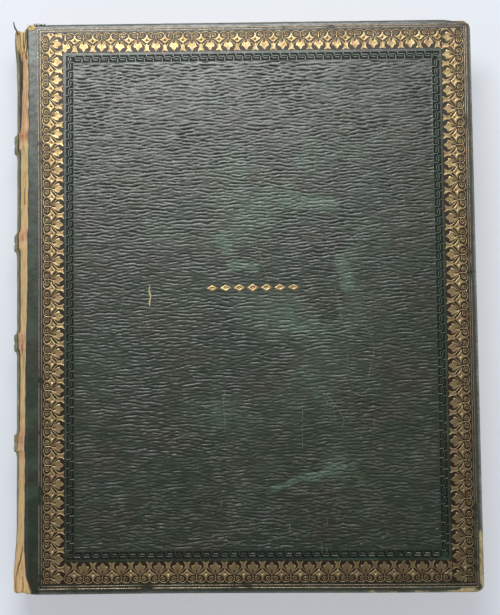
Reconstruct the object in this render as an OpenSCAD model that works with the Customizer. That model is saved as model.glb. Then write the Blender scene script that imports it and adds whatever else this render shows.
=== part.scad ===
// Quarto keepsake album, bound in full straight-grained leather with gold tooling.
// It lies closed on its back cover, with the spine at -X, the head at +Y and the front cover up.
// The origin is the middle of the whole object's footprint, on the surface that it lies on.

/* [Covers] */
// Height of a cover, head to tail
cover_h = 290; // [200:1:380]
// Width of a cover, joint to fore-edge
cover_w = 227; // [150:1:300]
// Thickness of the covering leather
leather_t = 0.8; // [0.6:0.1:1.2]
// Thickness of the millboard inside a cover
board_t = 3; // [2:0.1:5]
// Thickness of the turned-in leather on the inside, and of the paper pasted level with it
lining_t = 0.4; // [0.3:0.05:0.8]
// Width of the leather turned in at head, tail and fore-edge
turn_in_w = 14; // [8:1:25]
// Radius of a cover's two outer corners
corner_r = 4; // [2:0.5:8]
// Gap from the joint line to the cover's leather
joint_gap = 0.3; // [0.3:0.1:1]
// Gap from the joint line to the edge of the millboard
board_gap = 0.6; // [0.6:0.1:1.5]
// Gap round the pasted-down paper
paste_gap = 0.1; // [0.05:0.05:0.5]

/* [Tooling] */
// Thickness of the gold in its groove
gilt_t = 0.2; // [0.1:0.05:0.4]
// Head, tail and fore-edge to the outer gold line
tool_from_edge = 2.4; // [1:0.1:8]
// Joint to the outer gold line
tool_from_joint = 5.5; // [3:0.1:12]
// Width of the outer gold line
line_w = 0.8; // [0.4:0.1:1.5]
// Space between the outer line, the inner line and the roll
line_gap = 0.5; // [0.3:0.1:1.5]
// Width of the inner gold line
thin_line_w = 0.5; // [0.3:0.1:1.5]
// Width of the gold roll border
roll_w = 11; // [6:0.5:16]
// Joint to the middle of the centre ornament
ornament_from_joint = 114; // [60:1:150]
// Middle of the centre ornament above the cover's mid height
ornament_up = 7.5; // [-30:0.5:30]
// Length of the centre ornament
ornament_w = 48; // [20:1:80]
// Height of the centre ornament
ornament_h = 4.5; // [3:0.5:10]
// Number of lozenges in the centre ornament
ornament_lozenges = 7; // [3:2:11]

/* [Leaves] */
// Thickness of everything between the two covers
block_t = 29.6; // [20:0.1:50]
// How far the covers stand past the leaves
square_w = 4; // [2:0.5:8]
// Thickness of a leaf of album paper
leaf_t = 0.35; // [0.25:0.05:0.6]
// Thickness of a flyleaf
flyleaf_t = 0.3; // [0.2:0.05:0.5]
// Air between two leaves that turn
sheet_gap = 0.05; // [0.03:0.01:0.1]
// Number of leaves that turn at the front
front_leaves = 6; // [1:1:8]
// Number of leaves that turn at the back
back_leaves = 3; // [1:1:8]
// Number of sewn sections between them
section_count = 12; // [6:1:16]
// Joint line to the fold of the outermost turning leaf
fold_first = 2.2; // [2:0.1:4]
// Each further leaf folds this much nearer the fore-edge
fold_step = 0.6; // [0.5:0.1:1]
// Joint line to the fold of a flyleaf
flyleaf_fold = 1.2; // [1:0.1:1.8]

/* [Spine] */
// How far the rounded spine stands out past the joints
spine_bulge = 8.5; // [6:0.1:12]
// Thickness of each paper wall of the hollow behind the leather
hollow_wall = 0.3; // [0.2:0.05:0.6]
// Air inside the paper hollow
hollow_gap = 0.3; // [0.2:0.05:0.6]
// Width of the strips that close the hollow along its two edges
hollow_edge = 1; // [0.5:0.1:2]
// Thickness of the linen glued to the backs of the sections
linen_t = 0.3; // [0.2:0.05:0.6]
// Width of the leather turned over the head and tail of the spine
cap_w = 3; // [2:0.5:4]
// Joint line to the edge of the linings
lining_inset = 0.2; // [0.2:0.1:0.6]

/* [Raised bands] */
// How far a band lifts the leather at the middle of the spine
band_up = 1.1; // [0.8:0.1:2.5]
// Width of a band over the leather
band_w = 8; // [5:0.5:12]
// Head of the cover to the middle of the first band
first_band = 60; // [40:1:80]
// Middle of one band to the next
band_pitch = 51.5; // [40:0.5:60]
// Number of bands
band_count = 4; // [3:1:5]
// Joint line to the end of the strip under a band
band_inset = 1.4; // [1:0.1:3]

/* [Sewing] */
// Diameter of a sewing cord
cord_d = 2; // [1.2:0.1:2.4]
// Diameter of the kettle stitch thread
thread_d = 0.9; // [0.6:0.1:1.4]
// Head or tail of the leaves to the kettle stitch
kettle_in = 12; // [8:1:20]
// Clearance round a cord in its saw cut
cord_gap = 0.1; // [0.05:0.05:0.2]
// Diameter of a head or tail band
endband_d = 3; // [2:0.1:3.6]
// Length of a cord end that is fanned out under the cover's leather
slip_l = 18; // [10:1:30]
// Width of a cord end at the joint
slip_w = 4; // [3:0.5:6]
// Width of a cord end where it is fanned out
slip_fan_w = 11; // [6:0.5:16]
// Thickness of a flattened cord end
slip_t = 0.5; // [0.3:0.1:0.8]

/* [Hidden] */
$fn = 96;
eps = 0.01;
cover_t = leather_t + board_t + lining_t;
total_t = block_t + 2 * cover_t;
mid_z = total_t / 2;
leaf_h = cover_h - 2 * square_w;
// The joint line is x = joint_x: band, spine and cover fill the length, centred on the origin
joint_x = (spine_bulge + band_up - cover_w) / 2;
fore_x = joint_x + cover_w;
inner_z = total_t - cover_t;

// The spine is an arc through both joint lines, and a band is a fuller arc through the same lines
function arc_r(bulge) = (bulge * bulge + mid_z * mid_z) / (2 * bulge);
spine_r = arc_r(spine_bulge);
spine_x = joint_x - spine_bulge + spine_r;
band_r = arc_r(spine_bulge + band_up);
band_x = joint_x - spine_bulge - band_up + band_r;
hollow_r = spine_r - leather_t;
hollow_t = 2 * hollow_wall + hollow_gap;
linen_r = hollow_r - hollow_t;
block_r = linen_r - linen_t;

// The fore-edge is hollowed by the same arc that rounds the back
leaf_edge_x = fore_x - square_w;
hollow_x = leaf_edge_x + sqrt(block_r * block_r - block_t * block_t / 4);

// Leaves are counted from their cover inwards, from 0
function leaf_top(i) = block_t / 2 - 2 * sheet_gap - flyleaf_t - i * (leaf_t + sheet_gap);
function fold_x(i) = joint_x + fold_first + i * fold_step;
sections_top = mid_z + leaf_top(front_leaves);
sections_bottom = mid_z - leaf_top(back_leaves);
section_t = (sections_top - sections_bottom) / section_count;

function band_y(i) = cover_h / 2 - first_band - i * band_pitch;
function two(i) = str(i < 10 ? "0" : "", i);

// Draws a profile given as (x, z) and makes it h long, centred on y
module along_y(h, y = 0) {
    translate([0, y, 0]) rotate([90, 0, 0]) linear_extrude(h, center = true) children();
}

// The front half is drawn at the top; the back half is the same, turned over
module on_side(front) {
    if (front) children();
    else translate([0, 0, mid_z]) mirror([0, 0, 1]) translate([0, 0, -mid_z]) children();
}

// A round bar across the spine's profile
module round_profile(x, r) {
    translate([x, mid_z]) circle(r);
}

// Keeps what lies on the spine's side of the line at x
module spine_side(x) {
    intersection() {
        translate([x - 2 * spine_r, -spine_r]) square([2 * spine_r, total_t + 2 * spine_r]);
        children();
    }
}

// A curved strip between two radii of the spine, cut off at the line x
module spine_strip(r_out, r_in, x) {
    spine_side(x) difference() {
        round_profile(spine_x, r_out);
        round_profile(spine_x, r_in);
    }
}

// Everything between the rounded back and the hollowed fore-edge, from z0 to z1
module leaf_profile(z0, z1) {
    difference() {
        union() {
            intersection() {
                round_profile(spine_x, block_r);
                translate([joint_x - spine_r, z0]) square([2 * spine_r, z1 - z0]);
            }
            translate([spine_x, z0]) square([leaf_edge_x - spine_x, z1 - z0]);
        }
        round_profile(hollow_x, block_r);
    }
}

// Saw cuts across the back of the sections, for cords and kettle stitches
module saw_cut(d, y) {
    along_y(d + 2 * cord_gap, y) difference() {
        round_profile(spine_x, block_r + eps);
        round_profile(spine_x, block_r - d - 2 * cord_gap);
    }
}

module saw_cuts() {
    for (i = [0 : band_count - 1]) saw_cut(cord_d, band_y(i));
    for (side = [-1, 1]) saw_cut(thread_d, side * (leaf_h / 2 - kettle_in));
}

// A cord or thread bent round the back of the block, from one cover to the other
module bent_cord(d, r, y) {
    intersection() {
        translate([spine_x, y, mid_z]) rotate([90, 0, 0])
            rotate_extrude() translate([r, 0]) circle(d / 2);
        translate([joint_x - spine_r, y - d, mid_z - block_t / 2 + sheet_gap])
            cube([spine_r, 2 * d, block_t - 2 * sheet_gap]);
    }
}

// A cover's plan, inset from its edges, with its two outer corners rounded
module cover_plan(inset, x0, r) {
    x1 = fore_x - inset;
    y1 = cover_h / 2 - inset;
    translate([x0, -y1]) square([x1 - r - x0, 2 * y1]);
    translate([x1 - r - eps, -y1 + r]) square([r + eps, 2 * y1 - 2 * r]);
    for (side = [-1, 1]) translate([x1 - r, side * (y1 - r)]) circle(r);
}

// A plate of the given thickness with its outer face at z
module plate(z, t) {
    translate([0, 0, z - t]) linear_extrude(t) children();
}

// The rectangle that lies in from the outer gold line
module tool_square(inset) {
    x0 = joint_x + tool_from_joint + inset;
    x1 = fore_x - tool_from_edge - inset;
    y1 = cover_h / 2 - tool_from_edge - inset;
    translate([x0, -y1]) square([x1 - x0, 2 * y1]);
}

module tool_frame(inset, w) {
    difference() {
        tool_square(inset);
        tool_square(inset + w);
    }
}

module border_plan() {
    thin_line = line_w + line_gap;
    roll = thin_line + thin_line_w + line_gap;
    tool_frame(0, line_w);
    tool_frame(thin_line, thin_line_w);
    tool_frame(roll, roll_w);
}

// A row of lozenges, the middle one longest
module ornament_plan() {
    pitch = ornament_w / ornament_lozenges;
    middle = (ornament_lozenges - 1) / 2;
    for (i = [0 : ornament_lozenges - 1]) {
        half_w = 0.48 * pitch;
        half_h = ornament_h / 2 * (1 - 0.25 * abs(i - middle) / middle);
        translate([joint_x + ornament_from_joint + (i - middle) * pitch, ornament_up])
            polygon([[-half_w, 0], [0, -half_h], [half_w, 0], [0, half_h]]);
    }
}

// The flattened cord ends, fanned out on the outer face of the board
module slips_plan() {
    x0 = joint_x + board_gap;
    for (i = [0 : band_count - 1]) translate([x0, band_y(i)])
        polygon([[0, -slip_w / 2], [slip_l, -slip_fan_w / 2], [slip_l, slip_fan_w / 2], [0, slip_w / 2]]);
}

module spine_leather() {
    color("darkslategray") difference() {
        union() {
            along_y(cover_h) spine_side(joint_x) round_profile(spine_x, spine_r);
            for (i = [0 : band_count - 1])
                along_y(band_w, band_y(i)) spine_side(joint_x) round_profile(band_x, band_r);
        }
        along_y(cover_h - 2 * leather_t) round_profile(spine_x, hollow_r);
        along_y(cover_h + 2) round_profile(spine_x, hollow_r - cap_w);
        for (i = [0 : band_count - 1]) band_pocket(i);
    }
}

// The room that a band's strip takes under the leather
module band_pocket(i) {
    along_y(band_w - 2 * leather_t, band_y(i))
        spine_side(joint_x - band_inset) round_profile(band_x, band_r - leather_t);
}

module raised_bands() {
    color("peru") for (i = [0 : band_count - 1]) difference() {
        band_pocket(i);
        along_y(band_w + 2, band_y(i)) round_profile(spine_x, hollow_r);
    }
}

module spine_hollow() {
    edge_x = joint_x - lining_inset;
    color("burlywood") along_y(leaf_h) difference() {
        spine_strip(hollow_r, linen_r, edge_x);
        spine_strip(hollow_r - hollow_wall, linen_r + hollow_wall, edge_x - hollow_edge);
    }
}

module spine_linen() {
    color("wheat") along_y(leaf_h) spine_strip(linen_r, block_r, joint_x - lining_inset);
}

module sewing_cords() {
    color("tan") for (i = [0 : band_count - 1])
        bent_cord(cord_d, block_r - cord_d / 2 - cord_gap, band_y(i));
}

module kettle_stitches() {
    color("ivory") for (side = [-1, 1])
        bent_cord(thread_d, block_r - thread_d / 2 - cord_gap, side * (leaf_h / 2 - kettle_in));
}

// A band stands on the ends of the leaves, with its foot cut flat
module endband(side) {
    seat = endband_d / 10;
    color("indianred") intersection() {
        bent_cord(endband_d, block_r - endband_d / 2, side * (leaf_h / 2 + endband_d / 2 - seat));
        translate([joint_x - spine_r, side > 0 ? leaf_h / 2 : -leaf_h, 0])
            cube([2 * spine_r, leaf_h / 2, total_t]);
    }
}

// The folds of the turning leaves, left in the spine as steps that the leaves swing clear of
module fold_guard(count) {
    color("cornsilk") difference() {
        along_y(leaf_h) {
            for (i = [0 : count - 1]) spine_side(fold_x(i) - leaf_t - sheet_gap) {
                z0 = mid_z + leaf_top(count);
                z1 = mid_z + leaf_top(i) + (i == 0 ? sheet_gap / 2 : sheet_gap);
                intersection() {
                    round_profile(spine_x, block_r);
                    translate([joint_x - spine_r, z0]) square([2 * spine_r, z1 - z0]);
                }
            }
            shoulder();
        }
        saw_cuts();
    }
}

// The outermost fold is bent over towards the cover, which forms the groove the board sits in
module shoulder() {
    spine_side(joint_x - lining_inset) intersection() {
        round_profile(spine_x, block_r);
        translate([joint_x - spine_r, mid_z + leaf_top(0) - leaf_t]) square([2 * spine_r, spine_r]);
    }
}

module section(i) {
    z0 = sections_bottom + (i - 1) * section_t;
    color("antiquewhite") difference() {
        along_y(leaf_h) leaf_profile(z0, z0 + section_t);
        saw_cuts();
    }
}

// A sheet from its fold to the fore-edge, its outer face dz above mid thickness
module sheet(x, dz, t) {
    along_y(leaf_h) difference() {
        translate([x, mid_z + dz - t]) square([leaf_edge_x - x, t]);
        round_profile(hollow_x, block_r);
    }
}

module turning_leaf(i) {
    color("floralwhite") sheet(fold_x(i), leaf_top(i), leaf_t);
}

module flyleaf() {
    color("rosybrown") sheet(joint_x + flyleaf_fold, block_t / 2 - sheet_gap, flyleaf_t);
}

module board() {
    color("saddlebrown") difference() {
        plate(total_t - leather_t, board_t) cover_plan(leather_t, joint_x + board_gap, corner_r - leather_t);
        plate(total_t - leather_t + eps, slip_t + eps) slips_plan();
    }
}

module cord_slips() {
    color("tan") plate(total_t - leather_t, slip_t) slips_plan();
}

module cover_leather(front) {
    x0 = joint_x + joint_gap;
    color("darkslategray") difference() {
        plate(total_t, cover_t) cover_plan(0, x0, corner_r);
        plate(total_t - leather_t, board_t) cover_plan(leather_t, x0 - eps, corner_r - leather_t);
        translate([x0 - eps, turn_in_w - cover_h / 2, inner_z - eps])
            cube([cover_w - turn_in_w - joint_gap + eps, cover_h - 2 * turn_in_w, lining_t + 2 * eps]);
        plate(total_t + eps, gilt_t + eps) border_plan();
        if (front) plate(total_t + eps, gilt_t + eps) ornament_plan();
    }
}

module gilt_border() {
    color("goldenrod") plate(total_t, gilt_t) border_plan();
}

module gilt_ornament() {
    color("goldenrod") plate(total_t, gilt_t) ornament_plan();
}

module pastedown() {
    color("rosybrown") translate([joint_x + board_gap, turn_in_w + paste_gap - cover_h / 2, inner_z])
        cube([cover_w - turn_in_w - board_gap - paste_gap, cover_h - 2 * turn_in_w - 2 * paste_gap, lining_t]);
}

spine_leather();
raised_bands();
spine_hollow();
spine_linen();
sewing_cords();
kettle_stitches();
endband(1);  // headband
endband(-1);  // tailband
fold_guard(front_leaves);  // front_fold_guard
on_side(false) fold_guard(back_leaves);  // back_fold_guard
for (i = [1 : section_count])
    section(i);
for (side = ["front", "back"]) {
    front = side == "front";
    on_side(front) board();
    on_side(front) cover_leather(front);
    on_side(front) cord_slips();
    on_side(front) gilt_border();
    on_side(front) pastedown();
    on_side(front) flyleaf();
}
gilt_ornament();  // front_gilt_ornament
for (i = [1 : front_leaves])
    turning_leaf(i - 1);
for (i = [1 : back_leaves])
    on_side(false) turning_leaf(i - 1);
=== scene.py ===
import math

import bpy
import numpy as np
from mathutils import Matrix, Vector


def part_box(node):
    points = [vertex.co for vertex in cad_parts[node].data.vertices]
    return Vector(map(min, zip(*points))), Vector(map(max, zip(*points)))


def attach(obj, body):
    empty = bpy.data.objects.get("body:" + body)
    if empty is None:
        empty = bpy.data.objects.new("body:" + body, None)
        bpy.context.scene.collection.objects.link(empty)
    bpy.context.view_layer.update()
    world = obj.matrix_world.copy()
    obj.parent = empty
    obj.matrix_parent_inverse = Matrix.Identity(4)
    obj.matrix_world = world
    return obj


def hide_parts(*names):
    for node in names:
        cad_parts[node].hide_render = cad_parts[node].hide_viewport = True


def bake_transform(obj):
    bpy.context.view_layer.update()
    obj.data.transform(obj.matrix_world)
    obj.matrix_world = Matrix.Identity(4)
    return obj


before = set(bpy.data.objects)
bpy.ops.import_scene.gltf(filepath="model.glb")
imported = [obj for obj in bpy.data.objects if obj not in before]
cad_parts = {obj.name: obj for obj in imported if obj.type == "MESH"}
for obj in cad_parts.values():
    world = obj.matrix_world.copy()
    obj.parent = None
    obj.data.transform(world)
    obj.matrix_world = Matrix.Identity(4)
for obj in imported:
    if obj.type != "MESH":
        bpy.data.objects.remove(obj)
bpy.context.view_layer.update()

# Everything below is drawn in millimetres and turned into metres where a mesh is made
MM = 1000


def box(node):
    """Lowest and highest corner of a CAD node, in mm."""
    return [np.array(corner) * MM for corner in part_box(node)]


cover_low, cover_high = box("front_cover_leather")
FORE, HEAD, TOP = cover_high
MID = TOP / 2
# From the joint line to the edge of a cover's leather
COVER_GAP = 0.3
JOINT = cover_low[0] - COVER_GAP
COVER_T = TOP - cover_low[2]
BLOCK_T = TOP - 2 * COVER_T
CORNER_R = 4.0
BUMPED_CORNER_R = 5.5
TURN_IN = 14.0
LEATHER_T = 0.8
# What lies between the spine's leather and the backs of the leaves
LINING_T = 1.2
BAND_UP = 1.1
BAND_W = 8.0
FIRST_BAND = 60.0
BAND_PITCH = 51.5
BAND_YS = [HEAD - FIRST_BAND - i * BAND_PITCH for i in range(4)]
BULGE = JOINT - box("spine_leather")[0][0] - BAND_UP
# How far the covers reach past the leaves
SQUARE = 4.0
LEAF_END = HEAD - SQUARE
LEAF_EDGE = FORE - SQUARE


def arc_radius(bulge):
    """Radius of the arc that is as high as the album and bulges by this much."""
    return (bulge * bulge + MID * MID) / (2 * bulge)


SPINE_R = arc_radius(BULGE)
SPINE_X = JOINT - BULGE + SPINE_R
BAND_R = arc_radius(BULGE + BAND_UP)
BAND_X = JOINT - BULGE - BAND_UP + BAND_R
BLOCK_R = SPINE_R - LEATHER_T - LINING_T
HOLLOW_X = LEAF_EDGE + math.sqrt(BLOCK_R ** 2 - BLOCK_T ** 2 / 4)
HALF_ARC = math.asin(MID / SPINE_R)
SPINE_WIDTH = 2 * HALF_ARC * SPINE_R

# The tooled frame of a cover: distances from its joint, fore-edge, head and tail
OUTER_LINE = np.array([5.55, 2.6, 2.4, 2.5])
INNER_LINE = np.array([6.85, 3.6, 3.45, 3.85])
LINE_W = 0.45
ROLL_OUT = np.array([7.9, 4.7, 4.85, 5.4])
ROLL_IN = np.array([18.55, 15.6, 15.1, 15.9])
FRET_OUT = np.array([19.6, 16.9, 16.7, 17.2])
FRET_W = 3.5
PANEL = FRET_OUT + FRET_W + 0.3
LINE_DEPTH = 0.12
ROLL_DEPTH = 0.16
FRET_DEPTH = 0.35
ORNAMENT = (JOINT + 114.0, 7.4)
ORNAMENT_W = 48.0
ORNAMENT_H = 4.5
MOTIF_W = 9.05
MOTIF_H = 11.1
FRET_PITCH = 4.55


# Small helpers for shapes

def smooth(x, low, high):
    """Rises from 0 at low to 1 at high, or falls where low is the higher, with soft ends."""
    t = np.clip((x - low) / (high - low), 0, 1)
    return t * t * (3 - 2 * t)


# How many cells the noise runs over in each direction before it comes round again
NOISE_CELLS = 97


def noise(x, y, cell, seed):
    """Smooth random values from -1 to 1, with one lattice point in each cell of that many mm."""
    table = np.random.default_rng(seed).uniform(-1, 1, (NOISE_CELLS, NOISE_CELLS))
    x, y = np.broadcast_arrays(np.asarray(x, float) / cell, np.asarray(y, float) / cell)
    ix, iy = np.floor(x).astype(int), np.floor(y).astype(int)
    fx, fy = smooth(x - ix, 0, 1), smooth(y - iy, 0, 1)

    def at(i, j):
        return table[(ix + i) % NOISE_CELLS, (iy + j) % NOISE_CELLS]

    low = at(0, 0) * (1 - fx) + at(1, 0) * fx
    high = at(0, 1) * (1 - fx) + at(1, 1) * fx
    return low * (1 - fy) + high * fy


def rough_noise(x, y, cell, seed):
    """Two sizes of noise added up."""
    return 0.65 * noise(x, y, cell, seed) + 0.35 * noise(x, y, cell * 0.41, seed + 1)


def line_distance(x, y, line):
    """Distance from each place to a line through the given points."""
    near = np.full(np.shape(x), 1e9)
    for (x0, y0), (x1, y1) in zip(line[:-1], line[1:]):
        dx, dy = x1 - x0, y1 - y0
        t = np.clip(((x - x0) * dx + (y - y0) * dy) / (dx * dx + dy * dy), 0, 1)
        near = np.minimum(near, np.hypot(x - x0 - t * dx, y - y0 - t * dy))
    return near


def grid_faces(rows, cols, closed=False):
    """Quads over a grid of points; closed joins the last column to the first."""
    index = np.arange(rows * cols).reshape(rows, cols)
    if closed:
        index = np.hstack([index, index[:, :1]])
    quads = [index[:-1, :-1], index[:-1, 1:], index[1:, 1:], index[1:, :-1]]
    return np.stack(quads, -1).reshape(-1, 4)


def hand_cut(points):
    """The front cover and its tooling as they were cut and tooled by hand, a little off true."""
    x, y, z = points.T
    from_tail = (y + HEAD) / (2 * HEAD)
    at_fore_edge = smooth(x, 40, 98) * smooth(FORE - x, 0.3, 2.4)
    # The tail runs out toward the fore-edge, and the corner at the head is bumped in
    y = y - 1.15 * smooth(x, -60, FORE) * smooth(-y, 40, HEAD)
    y = y - 1.9 * smooth(x, FORE - 16, FORE) * smooth(y, HEAD - 2.9, HEAD)
    # The tooling along the fore-edge and the joint leans outward at the head
    by_joint = smooth(x, JOINT + 0.5, JOINT + 5.4) * smooth(-x, 89.2, 90.1)
    x = (x + 0.35 * smooth(x, 60, FORE) + (0.85 * from_tail - 0.35) * at_fore_edge
         - (0.1 + 0.75 * smooth(y, 30, 140)) * by_joint)
    return np.stack([x, y, z], -1)


class Shape:
    """Collects points in mm, faces and values on points, until they are made into one mesh."""

    def __init__(self):
        self.points, self.faces, self.slots, self.rounded, self.values = [], [], [], [], {}
        self.count = 0

    def add(self, points, faces, slot=0, rounded=True, **values):
        """Adds points and faces; a value that some points aren't given is 0 on them."""
        points = np.asarray(points, float).reshape(-1, 3)
        self.points.append(points)
        for face in np.asarray(faces).tolist():
            self.faces.append([i + self.count for i in face])
            self.slots.append(slot)
            self.rounded.append(rounded)
        for key in set(self.values) | set(values):
            held = self.values.setdefault(key, [np.zeros(self.count)])
            held.append(np.broadcast_to(values.get(key, 0.0), points.shape[:1]).astype(float))
        self.count += len(points)

    def add_grid(self, points, closed=False, flip=False, slot=0, rounded=True, **values):
        """Adds rows of points with quads between them; a value may be one number for all of them."""
        faces = grid_faces(*points.shape[:2], closed)
        for key, value in values.items():
            values[key] = np.broadcast_to(value, points.shape[:2]).ravel()
        self.add(points, faces[:, ::-1] if flip else faces, slot, rounded, **values)

    def make(self, name, body, slot, *materials, turned=False, replaces=(), thickness=0, blend=None):
        """Makes the piece; turned draws a piece of the back cover, which is the front's turned over."""
        points = np.concatenate(self.points)
        if body == "front_cover" or name == "front_joint_leather":
            points = hand_cut(points)
        if turned:
            points = points * (1, 1, -1) + (0, 0, TOP)
            self.faces = [face[::-1] for face in self.faces]
        mesh = bpy.data.meshes.new(name)
        mesh.from_pydata((points / MM).tolist(), [], self.faces)
        mesh.polygons.foreach_set("use_smooth", self.rounded)
        for material in materials:
            mesh.materials.append(material)
        mesh.polygons.foreach_set("material_index", self.slots)
        rest = mesh.attributes.new("place", "FLOAT_VECTOR", "POINT")
        rest.data.foreach_set("vector", (points / MM).astype(np.float32).ravel())
        for key, parts in self.values.items():
            held = mesh.attributes.new(key, "FLOAT", "POINT")
            held.data.foreach_set("value", np.concatenate(parts).astype(np.float32))
        piece = bpy.data.objects.new(name, mesh)
        bpy.context.scene.collection.objects.link(piece)
        if thickness:
            solid = piece.modifiers.new("thickness", "SOLIDIFY")
            solid.thickness = thickness / MM
            solid.offset = -1
        if blend:
            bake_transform(piece)
        else:
            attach(piece, body)
        if replaces:
            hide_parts(*replaces)
        return piece


# Materials

def srgb(red, green, blue):
    """A colour written as 0 to 255, as the linear colour that a shader takes."""
    channels = [c / 255 for c in (red, green, blue)]
    return [c / 12.92 if c <= 0.04045 else ((c + 0.055) / 1.055) ** 2.4 for c in channels] + [1.0]


def feed(tree, socket, value):
    """Links a socket to the one that feeds it, or sets its plain value."""
    if isinstance(value, bpy.types.NodeSocket):
        tree.links.new(value, socket)
    else:
        socket.default_value = value


def put(tree, kind, inputs=None, **settings):
    """Adds a shader node; inputs are values or the sockets that feed them."""
    made = tree.nodes.new("ShaderNode" + kind)
    for key, value in settings.items():
        setattr(made, key, value)
    for key, value in (inputs or {}).items():
        feed(tree, made.inputs[key], value)
    return made


def sums(tree, operation, a, b=0.0, clamp=False):
    """A sum on one or two values, such as ADD or SINE."""
    return put(tree, "Math", {0: a, 1: b}, operation=operation, use_clamp=clamp).outputs[0]


def mixed(tree, share, a, b, blend_type="MIX"):
    """A colour that goes from a to b with the share."""
    made = put(tree, "Mix", {"Factor": share, 6: a, 7: b}, data_type="RGBA", blend_type=blend_type)
    return made.outputs[2]


def blended(tree, share, a, b):
    """A number that goes from a to b with the share."""
    return put(tree, "Mix", {"Factor": share, 2: a, 3: b}, data_type="FLOAT").outputs[0]


def ramp(tree, value, *stops):
    """A colour ramp; each stop is a position and a colour written as 0 to 255."""
    made = put(tree, "ValToRGB", {0: value})
    elements = made.color_ramp.elements
    while len(elements) < len(stops):
        elements.new(0.5)
    for element, (position, colour) in zip(elements, stops):
        element.position = position
        element.color = srgb(*colour)
    return made.outputs[0]


def ranged(tree, value, low, high, to_low=0.0, to_high=1.0):
    """Stretches the values from low to high over another range, and clamps them to it."""
    inputs = {"Value": value, "From Min": low, "From Max": high, "To Min": to_low, "To Max": to_high}
    return put(tree, "MapRange", inputs, clamp=True).outputs[0]


def scaled(tree, place, x, y, z):
    """A place whose three parts are each made larger or smaller."""
    return put(tree, "VectorMath", {0: place, 1: (x, y, z)}, operation="MULTIPLY").outputs[0]


def grey(tree, place, scale, detail=3.0, roughness=0.55):
    """Plain noise as a value from 0 to 1."""
    inputs = {"Vector": place, "Scale": scale, "Detail": detail, "Roughness": roughness}
    return put(tree, "TexNoise", inputs).outputs[0]


def start_group(name, inputs, outputs):
    """A node group with named sockets; each input is a name, a socket type and a value."""
    group = bpy.data.node_groups.new(name, "ShaderNodeTree")
    for label, kind, value in inputs:
        made = group.interface.new_socket(label, in_out="INPUT", socket_type="NodeSocket" + kind)
        if value is not None:
            made.default_value = value
    for label, kind in outputs:
        group.interface.new_socket(label, in_out="OUTPUT", socket_type="NodeSocket" + kind)
    return group, group.nodes.new("NodeGroupInput").outputs, group.nodes.new("NodeGroupOutput").inputs


def use_group(tree, group, **inputs):
    """Puts a group in a material and returns its outputs."""
    return put(tree, "Group", inputs, node_tree=group).outputs


def fine_grain_group():
    """Fine wrinkles and pores of goatskin, longer along X than across."""
    inputs = [("Place", "Vector", None), ("Wrinkles", "Float", 900.0), ("Length", "Float", 3.0)]
    group, given, out = start_group("Fine grain", inputs, [("Height", "Float")])
    shrink = sums(group, "DIVIDE", 1.0, given["Length"])
    stretch = put(group, "CombineXYZ", {0: shrink, 1: 1.0, 2: 1.0}).outputs[0]
    place = put(group, "VectorMath", {0: given["Place"], 1: stretch}, operation="MULTIPLY").outputs[0]
    wrinkles = grey(group, place, given["Wrinkles"], 2.0)
    pores = put(group, "TexVoronoi", {"Vector": place, "Scale": given["Wrinkles"]}, feature="F1").outputs[0]
    height = sums(group, "ADD", wrinkles, sums(group, "MULTIPLY", pores, 0.5))
    group.links.new(height, out["Height"])
    return group


def rubbing_group():
    """Patches with soft and broken edges, where a surface is rubbed or faded."""
    inputs = [("Place", "Vector", None), ("Scale", "Float", 30.0), ("Amount", "Float", 0.5),
              ("Softness", "Float", 0.1)]
    group, given, out = start_group("Rubbing", inputs, [("Mask", "Float")])
    large = grey(group, given["Place"], given["Scale"], 5.0, 0.62)
    low = sums(group, "SUBTRACT", 1.0, given["Amount"])
    high = sums(group, "ADD", low, given["Softness"])
    group.links.new(ranged(group, large, low, high), out["Mask"])
    return group


def fibre_group():
    """Cloudy pulp with short fibres, for paper and board."""
    inputs = [("Place", "Vector", None), ("Scale", "Float", 400.0), ("Depth", "Float", 0.5)]
    group, given, out = start_group("Fibres", inputs, [("Tone", "Float"), ("Height", "Float")])
    stretched = scaled(group, given["Place"], 0.3, 1.0, 1.0)
    fibres = grey(group, stretched, given["Scale"], 4.0, 0.6)
    clouds = grey(group, given["Place"], 25.0, 2.0)
    tone = sums(group, "ADD", sums(group, "MULTIPLY", fibres, 0.6), sums(group, "MULTIPLY", clouds, 0.4))
    group.links.new(tone, out["Tone"])
    group.links.new(sums(group, "MULTIPLY", fibres, given["Depth"]), out["Height"])
    return group


def weave_group():
    """Plain weave of threads that run along Y and around the spine."""
    inputs = [("Place", "Vector", None), ("Threads", "Float", 1500.0)]
    group, given, out = start_group("Weave", inputs, [("Height", "Float"), ("Shade", "Float")])
    parts = put(group, "SeparateXYZ", {0: given["Place"]}).outputs
    across = sums(group, "SINE", sums(group, "MULTIPLY", parts[1], given["Threads"]))
    round_spine = sums(group, "ADD", parts[2], parts[0])
    down = sums(group, "SINE", sums(group, "MULTIPLY", round_spine, given["Threads"]))
    height = sums(group, "MULTIPLY", across, down)
    group.links.new(height, out["Height"])
    group.links.new(ranged(group, height, -1.0, 1.0, 0.75, 1.0), out["Shade"])
    return group


def wear_group():
    """Turns a wear value on points into a ragged mask."""
    inputs = [("Place", "Vector", None), ("Wear", "Float", 0.0), ("Scale", "Float", 900.0),
              ("Ragged", "Float", 0.5)]
    group, given, out = start_group("Wear", inputs, [("Mask", "Float")])
    broken = grey(group, given["Place"], given["Scale"], 4.0, 0.65)
    offset = sums(group, "MULTIPLY", sums(group, "SUBTRACT", broken, 0.5), given["Ragged"])
    value = sums(group, "ADD", given["Wear"], offset)
    group.links.new(ranged(group, value, 0.0, 1.0), out["Mask"])
    return group


FINE_GRAIN = fine_grain_group()
RUBBING = rubbing_group()
FIBRES = fibre_group()
WEAVE = weave_group()
WEAR = wear_group()


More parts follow.
